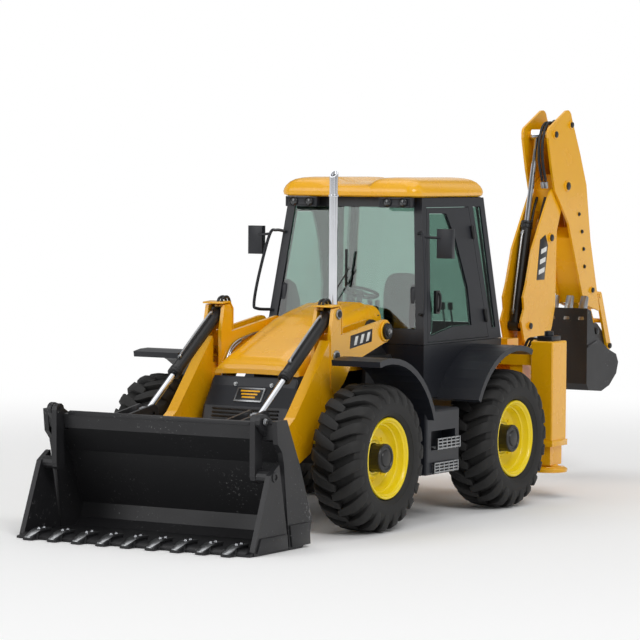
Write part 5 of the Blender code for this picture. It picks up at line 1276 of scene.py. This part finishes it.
    def bucket(self) -> None:
        """Bolted teeth, cutting edge, lip beads and side wear plates."""
        edge, half = self.edge_y, self.half_width
        pitch = 2 * (half - 11.0) / (self.teeth - 1)
        teeth, bolts = [], []
        outline = [(edge + 11.6, 3.8), (edge + 11.6, 4.9), (edge + 4.0, 5.0), (edge + 1.0, 4.2),
                   (edge - 5.3, 1.9),
                   (edge - 5.45, 0.9), (edge - 5.3, 0.15), (edge + 0.0, 0.15), (edge + 0.6, 3.6)]
        for i in range(self.teeth):
            x = -half + 11.0 + i * pitch
            tooth = prism("tooth", outline, x - 2.85, x + 2.85, 0.35)
            for corner in tooth.data.vertices:
                reach = max(0.0, min(1.0, ((edge + ORIGIN_Y) * MM - corner.co.y) / (5.4 * MM)))
                corner.co.x = x * MM + (corner.co.x - x * MM) * (1 - 0.42 * reach)
            teeth.append(tooth)
            bolts += [bolt("bolt", (x, edge + y, 4.85), (0, 0, 1), 0.85, 0.8) for y in (4.6, 9.0)]
        fit(merge("bucket_teeth", teeth), "bucket_jaw", NICKEL, "bucket_steel")
        fit(merge("tooth_bolts", bolts), "bucket_jaw", CHROME, "chrome")
        blade = prism("blade", [(edge + 9.0, 2.2), (edge + 9.0, 3.1), (edge + 2.0, 2.7), (edge - 0.2, 1.5),
                                (edge - 0.2, 0.4), (edge + 0.6, 0.3)], -half + 3.0, half - 3.0, 0.2)
        fit(blade, "bucket_jaw", BUCKET_ZINC, "bucket_steel")
        bead = prism("bead", [(-238.4, 60.6), (-238.4, 62.3), (-236.8, 62.9), (-235.2, 62.3), (-235.2, 60.6)],
                     -54.0, 54.0, 0.4)
        ribs = [prism("rib", [(-236.0, 60.2), (-229.0, 60.2), (-229.0, 62.0), (-236.0, 62.0)], x - 0.8,
                      x + 0.8, 0.2)
                for x in (-42, -21, 0, 21, 42)]
        fit(merge("bucket_lip_bead", [bead, *ribs]), "loader_bucket", BUCKET_ZINC, "bucket_steel")
        for side in Side:
            s = side.value
            hole = lathe(side.label + "_cheek_eye", [(0, 1.4), (0, 2.6), (0.5, 2.5), (0.5, 1.5)],
                         (s * half, self.jaw_boss[0], self.jaw_boss[1]), 36, (s, 0, 0), 0.1)
            fit(hole, "bucket_jaw", BUCKET_ZINC, "bucket_steel")
            wear = prism(side.label + "_wear_plate", [(-207.5, 1.2), (-224.4, 1.2), (-226.4, 12.0),
                                                      (-208.4, 12.0)],
                         s * (half - 0.1), s * (half + 0.8), 0.2)
            fit(wear, "loader_bucket", BUCKET_ZINC, "bucket_steel")
            shoe = prism(side.label + "_jaw_shoe", [(-228.0, 1.2), (-256.0, 1.2), (-252.6, 8.0), (-229.0,
                                                                                                  8.0)],
                         s * (half - 0.1), s * (half + 0.8), 0.2)
            fit(shoe, "bucket_jaw", BUCKET_ZINC, "bucket_steel")
            pin_head = bolt(side.label + "_jaw_pin_bolt", (s * 64.0, -240.05, 63.0), (s, 0, 0), 1.3, 1.1)
            fit(pin_head, "loader_bucket", NICKEL, "chrome")

    def build(self) -> None:
        """Model the loader's pieces."""
        for side in Side:
            self.arm(side)
        self.bucket()


# ------------------------------------------------------------------ backhoe and stabilisers
@dataclass
class Backhoe:
    """Pins, hose lines, decals and wear parts of the digging arm and its frame."""

    x: float = 21.0
    near: float = 7.2
    outer: float = 9.0
    boom_tip: tuple[float, float] = (147.4, 174.8)
    boom_foot: tuple[float, float] = (116.0, 74.0)
    head_pin: tuple[float, float] = (131.0, 205.1)
    top_pin: tuple[float, float] = (151.5, 211.0)
    lever_pin: tuple[float, float] = (181.5, 112.0)
    ear: tuple[float, float] = (210.0, 77.0)
    bucket_pivot: tuple[float, float] = (194.6, 86.6)
    leg_x: float = 62.0

    def pin_heads(self) -> None:
        """Black heads with bright rings on both faces of each pin."""
        for name, (y, z), face, body, radius in (
                ("dipper_pivot", self.boom_tip, self.outer, "dipper", 3.2),
                ("dipper_ram_head", self.head_pin, self.outer, "dipper", 2.6),
                ("bucket_ram_head", self.top_pin, self.outer, "dipper", 2.3),
                ("lever_pivot", self.lever_pin, self.outer, "dipper", 2.1),
                ("boom_foot", self.boom_foot, self.near, "boom", 3.2),
                ("boom_ram_end", (130.0, 144.4), self.near, "boom", 2.8),
                ("dipper_ram_foot", (104.0, 93.5), self.near, "boom", 2.5)):
            heads, rings = [], []
            for side in Side:
                s = side.value
                spot = (self.x + s * face, y, z)
                heads.append(rod("head", (spot[0] - s * 0.2, y, z), (spot[0] + s * 1.5, y, z),
                                 radius * 0.72, 0.2))
                section = [(-0.1, radius * 0.7), (-0.1, radius), (0.5, radius), (0.7, radius * 0.7)]
                rings.append(lathe("ring", section, spot, 36, (s, 0, 0), 0.06))
            fit(merge(name + "_heads", heads), body, BLACK_ZINC, "frame_black")
            fit(merge(name + "_rings", rings), body, ENAMEL, "yellow_paint")

    def bolts(self) -> None:
        """The row of small black bolts down each dipper plate, and a dark rear strip."""
        heads = []
        for side in Side:
            s = side.value
            for y, z in ((163.5, 158.0), (167.6, 147.5), (170.0, 137.0), (171.4, 126.5)):
                heads.append(bolt("bolt", (self.x + s * self.outer, y, z), (s, 0, 0), 0.95, 0.9))
        fit(merge("dipper_bolts", heads), "dipper", BLACK_ZINC, "frame_black")
        strip = prism("dipper_rear_strip", [(176.2, 158.0), (177.3, 158.0), (180.3, 144.5), (179.2, 144.2)],
                      self.x - 6.5, self.x + 6.5, 0.2)
        fit(strip, "dipper", BLACK_ABS, "black_plastic")
        spine = prism("dipper_spine", [(153.0, 212.6), (165.3, 193.4), (173.9, 175.4), (180.0, 142.6),
                                       (178.6, 142.4),
                                       (172.4, 175.0), (164.0, 192.6), (152.0, 211.4)], self.x - 7.4,
                      self.x + 7.4, 0.3)
        fit(spine, "dipper", ENAMEL, "yellow_paint")

    def hoses(self) -> None:
        """Hose lines: two loops at the dipper's head and two runs, all held by the boom, and the ram's pipe."""
        loops, unions = [], []
        for x in (self.x + 3.4, self.x + 5.6):
            loops.append(pipe("loop", [(x, 126.0, 178.0), (x, 121.8, 190.0), (x, 122.2, 203.0), (x,
                                                                                                 128.4,
                                                                                                 211.4),
                                       (x, 137.0, 210.6), (x, 141.8, 202.0)], 0.85))
            unions.append(rod("union", (x, 126.2, 177.4), (x, 127.4, 173.6), 1.25, 0.1, 6))
            unions.append(rod("union", (x, 141.6, 202.6), (x, 143.4, 198.8), 1.25, 0.1, 6))
        fit(merge("head_hose_loops", loops), "boom", VINYL, "black_plastic")
        fit(merge("head_hose_unions", unions), "boom", NICKEL, "chrome")
        runs = [pipe("run", [(x, 114.0, 92), (x, 118.0, 112), (x, 123.0, 134), (x, 131.0, 158), (x,
                                                                                                 136.0,
                                                                                                 168)], 0.8)
                for x in (self.x - 5.0, self.x + 0.4)]
        fit(merge("boom_hose_lines", runs), "boom", VINYL, "black_plastic")
        base, tip = Vector((self.x - 2.4, 104.0, 93.5)), Vector((self.x - 2.4, *self.head_pin))
        heading = (tip - base).normalized()
        front = Vector((0, -heading.z, heading.y))
        side_pipe = pipe("side", [base + heading * 8 + front * 3.0, base + heading * 10 + front * 4.4,
                                  base + heading * 52 + front * 4.4, base + heading * 55 + front * 3.0], 0.6)
        ends = [rod("fitting", base + heading * d + front * 2.8, base + heading * d + front * 4.6, 1.1,
                    0.1, 6)
                for d in (8.5, 54.5)]
        fit(merge("dipper_ram_side_pipe", [side_pipe, *ends]), "dipper_ram_barrel", NICKEL, "chrome")
        gland = Loader().sleeve("dipper_ram_gland", (104.0, 93.5), self.head_pin, self.x - 2.4, 58.0,
                                62.5, 3.5, 1.9)
        fit(gland, "dipper_ram_barrel", BLACK_ZINC, "black_plastic")
        gland = Loader().sleeve("boom_ram_gland", (112.0, 90.0), (130.0, 144.4), self.x + 3.4, 34.5,
                                38.4, 2.4, 1.3)
        fit(gland, "boom_ram_barrel", BLACK_ZINC, "black_plastic")
        gland = Loader().sleeve("bucket_ram_gland", self.top_pin, (197.0, 108.0), self.x, 62.5, 66.4,
                                2.7, 1.4)
        fit(gland, "bucket_ram_barrel", BLACK_ZINC, "black_plastic")

    def decal(self) -> None:
        """A plain dark band with three pale bars along each boom plate."""
        for side in Side:
            s = side.value
            x0, x1 = self.x + s * (self.near - 0.1), self.x + s * (self.near + 0.12)
            band = prism("band", [(112.6, 120.0), (122.6, 120.0), (126.8, 140.0), (123.4, 146.4), (116.6,
                                                                                                   143.4)],
                         x0, x1, 0.05)
            fit(merge(side.label + "_boom_decal", [band]), "boom", DARK_FILM, "black_plastic")
            bars = [prism("bar", [(115.0 + i * 1.4, 123.0 + i * 6), (122.2 + i * 1.2, 124.6 + i * 6),
                                  (122.6 + i * 1.2, 127.4 + i * 6), (115.4 + i * 1.4, 125.8 + i * 6)], x0,
                          self.x + s * (self.near + 0.2), 0.03) for i in range(3)]
            fit(merge(side.label + "_boom_decal_bars", bars), "boom", PALE_FILM, "black_plastic")

    def bucket(self) -> None:
        """Worn teeth, the ear's pin and the seam down each cheek."""
        teeth = []
        outline = [(156.8, 95.0), (159.9, 95.4), (163.2, 108.5), (160.9, 109.5), (157.6, 103.0)]
        for i in range(4):
            middle = self.x - 14.4 + i * 9.6
            teeth.append(prism("tooth", outline, middle - 2.0, middle + 2.0, 0.35))
        fit(merge("digging_teeth", teeth), "rear_bucket", NICKEL, "bucket_steel")
        y, z = self.ear
        fit(rod("ear_pin", (self.x - 8.6, y, z), (self.x + 8.6, y, z), 1.6, 0.2), "rear_bucket", BLACK_ZINC,
            "frame_black")
        y, z = self.bucket_pivot
        fit(rod("digging_pivot_pin", (self.x - 7.2, y, z), (self.x + 7.2, y, z), 2.1, 0.2),
            "rear_bucket", BLACK_ZINC,
            "frame_black")
        seams = []
        for side in Side:
            s = side.value
            x = self.x + s * 18.4
            seams.append(prism("seam", [(157.6, 78.6), (170.0, 81.4), (169.6, 82.6), (157.6, 79.9)], x,
                               x + s * 0.5, 0.1))
        fit(merge("digging_bucket_seams", seams), "rear_bucket", BUCKET_ZINC, "bucket_steel")

    def stabiliser(self, side: Side) -> None:
        """Valve block, hoses and collar at one leg."""
        s, word = side.value, side.label
        x, y = s * self.leg_x, 63.0
        cap = slab("cap", (x - 4.6, y - 5.6, 87.8), (x + 4.6, y + 5.6, 90.8), 1.0)
        knob = rod("knob", (x, y, 90.4), (x, y, 93.4), 2.6, 0.3)
        fit(merge(word + "_valve_cap", [cap, knob]), "chassis", BLACK_ABS, "black_plastic")
        unions = [rod("union", (x - s * 5.4, y + d, 89.2), (x - s * 8.0, y + d, 89.2), 1.1, 0.1,
                      6) for d in (-2.4, 2.4)]
        fit(merge(word + "_valve_unions", unions), "chassis", NICKEL, "chrome")
        lines = [pipe("line", [(x - s * 7.6, y + d, 89.2), (x - s * 11.4, y + d, 88.6), (x - s * 13.4,
                                                                                         y + d, 85.4),
                               (x - s * 14.6, y + d * 0.8, 82.6)], 0.8) for d in (-2.4, 2.4)]
        fit(merge(word + "_valve_hoses", lines), "chassis", VINYL, "black_plastic")
        band = slab(word + "_leg_collar", (x - 7.5, y - 9.5, 28.8), (x + 7.5, y + 9.5, 32.2), 0.6)
        fit(band, "chassis", ENAMEL, "yellow_paint")
        foot = lathe(word + "_foot_pad", [(0.0, 0.02), (0.0, 10.9), (0.6, 11.2), (1.8, 11.2), (2.3,
                                                                                               10.6),
                                          (2.9, 9.2),
                     (3.3, 6.2), (4.4, 5.5), (4.6, 0.02)], (x, y, 14.0), 56, (0, 0, 1))
        fit(foot, word + "_stabiliser", ENAMEL, "yellow_paint")
        lamp = slab(word + "_tail_lamp", (s * 43.0 - 2.6, 71.6, 75.0), (s * 43.0 + 2.6, 72.2, 83.0), 0.5,
                    ((0, 1, 0), 0.5, -0.2))
        fit(lamp, "chassis", LENS, "chrome")

    def build(self) -> None:
        """Model the backhoe's pieces."""
        self.pin_heads()
        self.bolts()
        self.hoses()
        self.decal()
        self.bucket()
        for side in Side:
            self.stabiliser(side)


# ------------------------------------------------------------------ studio
@dataclass
class Studio:
    """Pale floor, soft lights and the camera."""

    camera_place: Point = (0.84741, -1.45337, 0.18761)
    yaw: float = 31.268
    down: float = 2.942
    roll: float = 0.3746
    lens: float = 172.07
    floor_size: float = 30.0
    paper_reach: float = 0.28   # from here out, in metres, the floor fades into the backdrop
    glow_reach: float = 0.85    # and from here on it is all backdrop
    sky_dark: float = 0.15
    sky_bright: float = 1.0

    def floor(self) -> None:
        """A wide pale floor under the tyres, fading to a bright backdrop away from them."""
        clear_selection()
        bpy.ops.mesh.primitive_plane_add(size=self.floor_size, location=(0, 0, -0.0002))
        item = claim("studio_floor")
        paper = bpy.data.materials.new("white_studio_paper")
        paper.use_nodes = True
        shader = paper.node_tree.nodes["Principled BSDF"]
        shader.inputs["Base Color"].default_value = linear("FBFBFB")
        shader.inputs["Roughness"].default_value = 0.9
        shader.inputs["Specular IOR Level"].default_value = 0.1
        tree = paper.node_tree
        place = add_node(tree, "ShaderNodeTexCoord").outputs["Object"]
        reach = add_node(tree, "ShaderNodeVectorMath", {"operation": "LENGTH"},
                         links={0: place}).outputs["Value"]
        far = add_node(tree, "ShaderNodeMapRange", {"interpolation_type": "SMOOTHSTEP"},
                       {"From Min": self.paper_reach, "From Max": self.glow_reach}, {"Value": reach}).outputs[0]
        glow = add_node(tree, "ShaderNodeEmission", values={"Strength": 1.0}).outputs[0]
        blend = add_node(tree, "ShaderNodeMixShader", links={0: far, 1: shader.outputs[0], 2: glow})
        tree.links.new(blend.outputs[0], tree.nodes["Material Output"].inputs["Surface"])
        item.data.materials.append(paper)

    def light(self, name: str, place: Point, aim: Point, size: float, power: float) -> None:
        """One soft square light.

        Args:
            name: its name.
            place: where it stands, in metres.
            aim: what it points at.
            size: its width.
            power: its power in watts.
        """
        lamp = bpy.data.lights.new(name, "AREA")
        lamp.shape, lamp.size, lamp.energy = "SQUARE", size, power
        item = bpy.data.objects.new(name, lamp)
        item.location = place
        item.rotation_euler = (Vector(aim) - Vector(place)).to_track_quat("-Z", "Y").to_euler()
        bpy.context.scene.collection.objects.link(item)

    def sky(self, tree: bpy.types.NodeTree) -> None:
        """A white backdrop for the eye, and a dimmer sky with darker bands that metal can mirror."""
        white = tree.nodes["Background"]
        white.inputs["Color"].default_value = linear("FFFFFF")
        white.inputs["Strength"].default_value = 1.0
        heading = add_node(tree, "ShaderNodeTexCoord").outputs["Generated"]
        wave = add_node(tree, "ShaderNodeTexWave", {"bands_direction": "X", "wave_profile": "SIN"},
                        {"Scale": 0.55, "Phase Offset": 1.2}, {"Vector": heading}).outputs["Fac"]
        level = add_node(tree, "ShaderNodeMapRange", values={"To Min": self.sky_dark, "To Max": self.sky_bright},
                         links={"Value": wave}).outputs[0]
        dim = add_node(tree, "ShaderNodeBackground", links={"Strength": level})
        eye = add_node(tree, "ShaderNodeLightPath").outputs["Is Camera Ray"]
        both = add_node(tree, "ShaderNodeMixShader", links={0: eye, 1: dim.outputs[0], 2: white.outputs[0]})
        tree.links.new(both.outputs[0], tree.nodes["World Output"].inputs["Surface"])

    def build(self) -> None:
        """Set the floor, the lights, the sky and the camera."""
        self.floor()
        self.light("key_light", (1.3, -1.0, 1.5), (0, 0, 0.08), 0.8, 14.0)
        self.light("front_light", (-0.9, -1.7, 0.9), (0, -0.1, 0.1), 1.0, 7.0)
        self.light("top_light", (-0.2, 0.3, 1.8), (0, 0, 0.1), 1.6, 8.0)
        world = bpy.data.worlds.new("soft_white_sky")
        bpy.context.scene.world = world
        world.use_nodes = True
        self.sky(world.node_tree)
        bpy.context.scene.view_settings.view_transform = "Standard"
        data = bpy.data.cameras.new("camera")
        data.lens, data.sensor_width = self.lens, 36.0
        data.clip_start, data.clip_end = 0.05, 100.0
        camera = bpy.data.objects.new("camera", data)
        yaw, down = math.radians(self.yaw), math.radians(self.down)
        ahead = Vector((-math.sin(yaw) * math.cos(down), math.cos(yaw) * math.cos(down), -math.sin(down)))
        aim = ahead.to_track_quat("-Z", "Y").to_matrix().to_4x4()
        turned = aim @ Matrix.Rotation(math.radians(self.roll), 4, "Z")
        camera.matrix_world = Matrix.Translation(Vector(self.camera_place)) @ turned
        bpy.context.scene.collection.objects.link(camera)
        bpy.context.scene.camera = camera


def main() -> None:
    """Build the looks in order."""
    logging.basicConfig(level=logging.INFO, format="%(name)s: %(message)s")
    Studio().build()
    Frame().dress()
    for assembly in (Wheels, Nose, Cab, Loader, Backhoe):
        log.info("building %s", assembly.__name__)
        assembly().build()


if __name__ == "__main__":
    main()
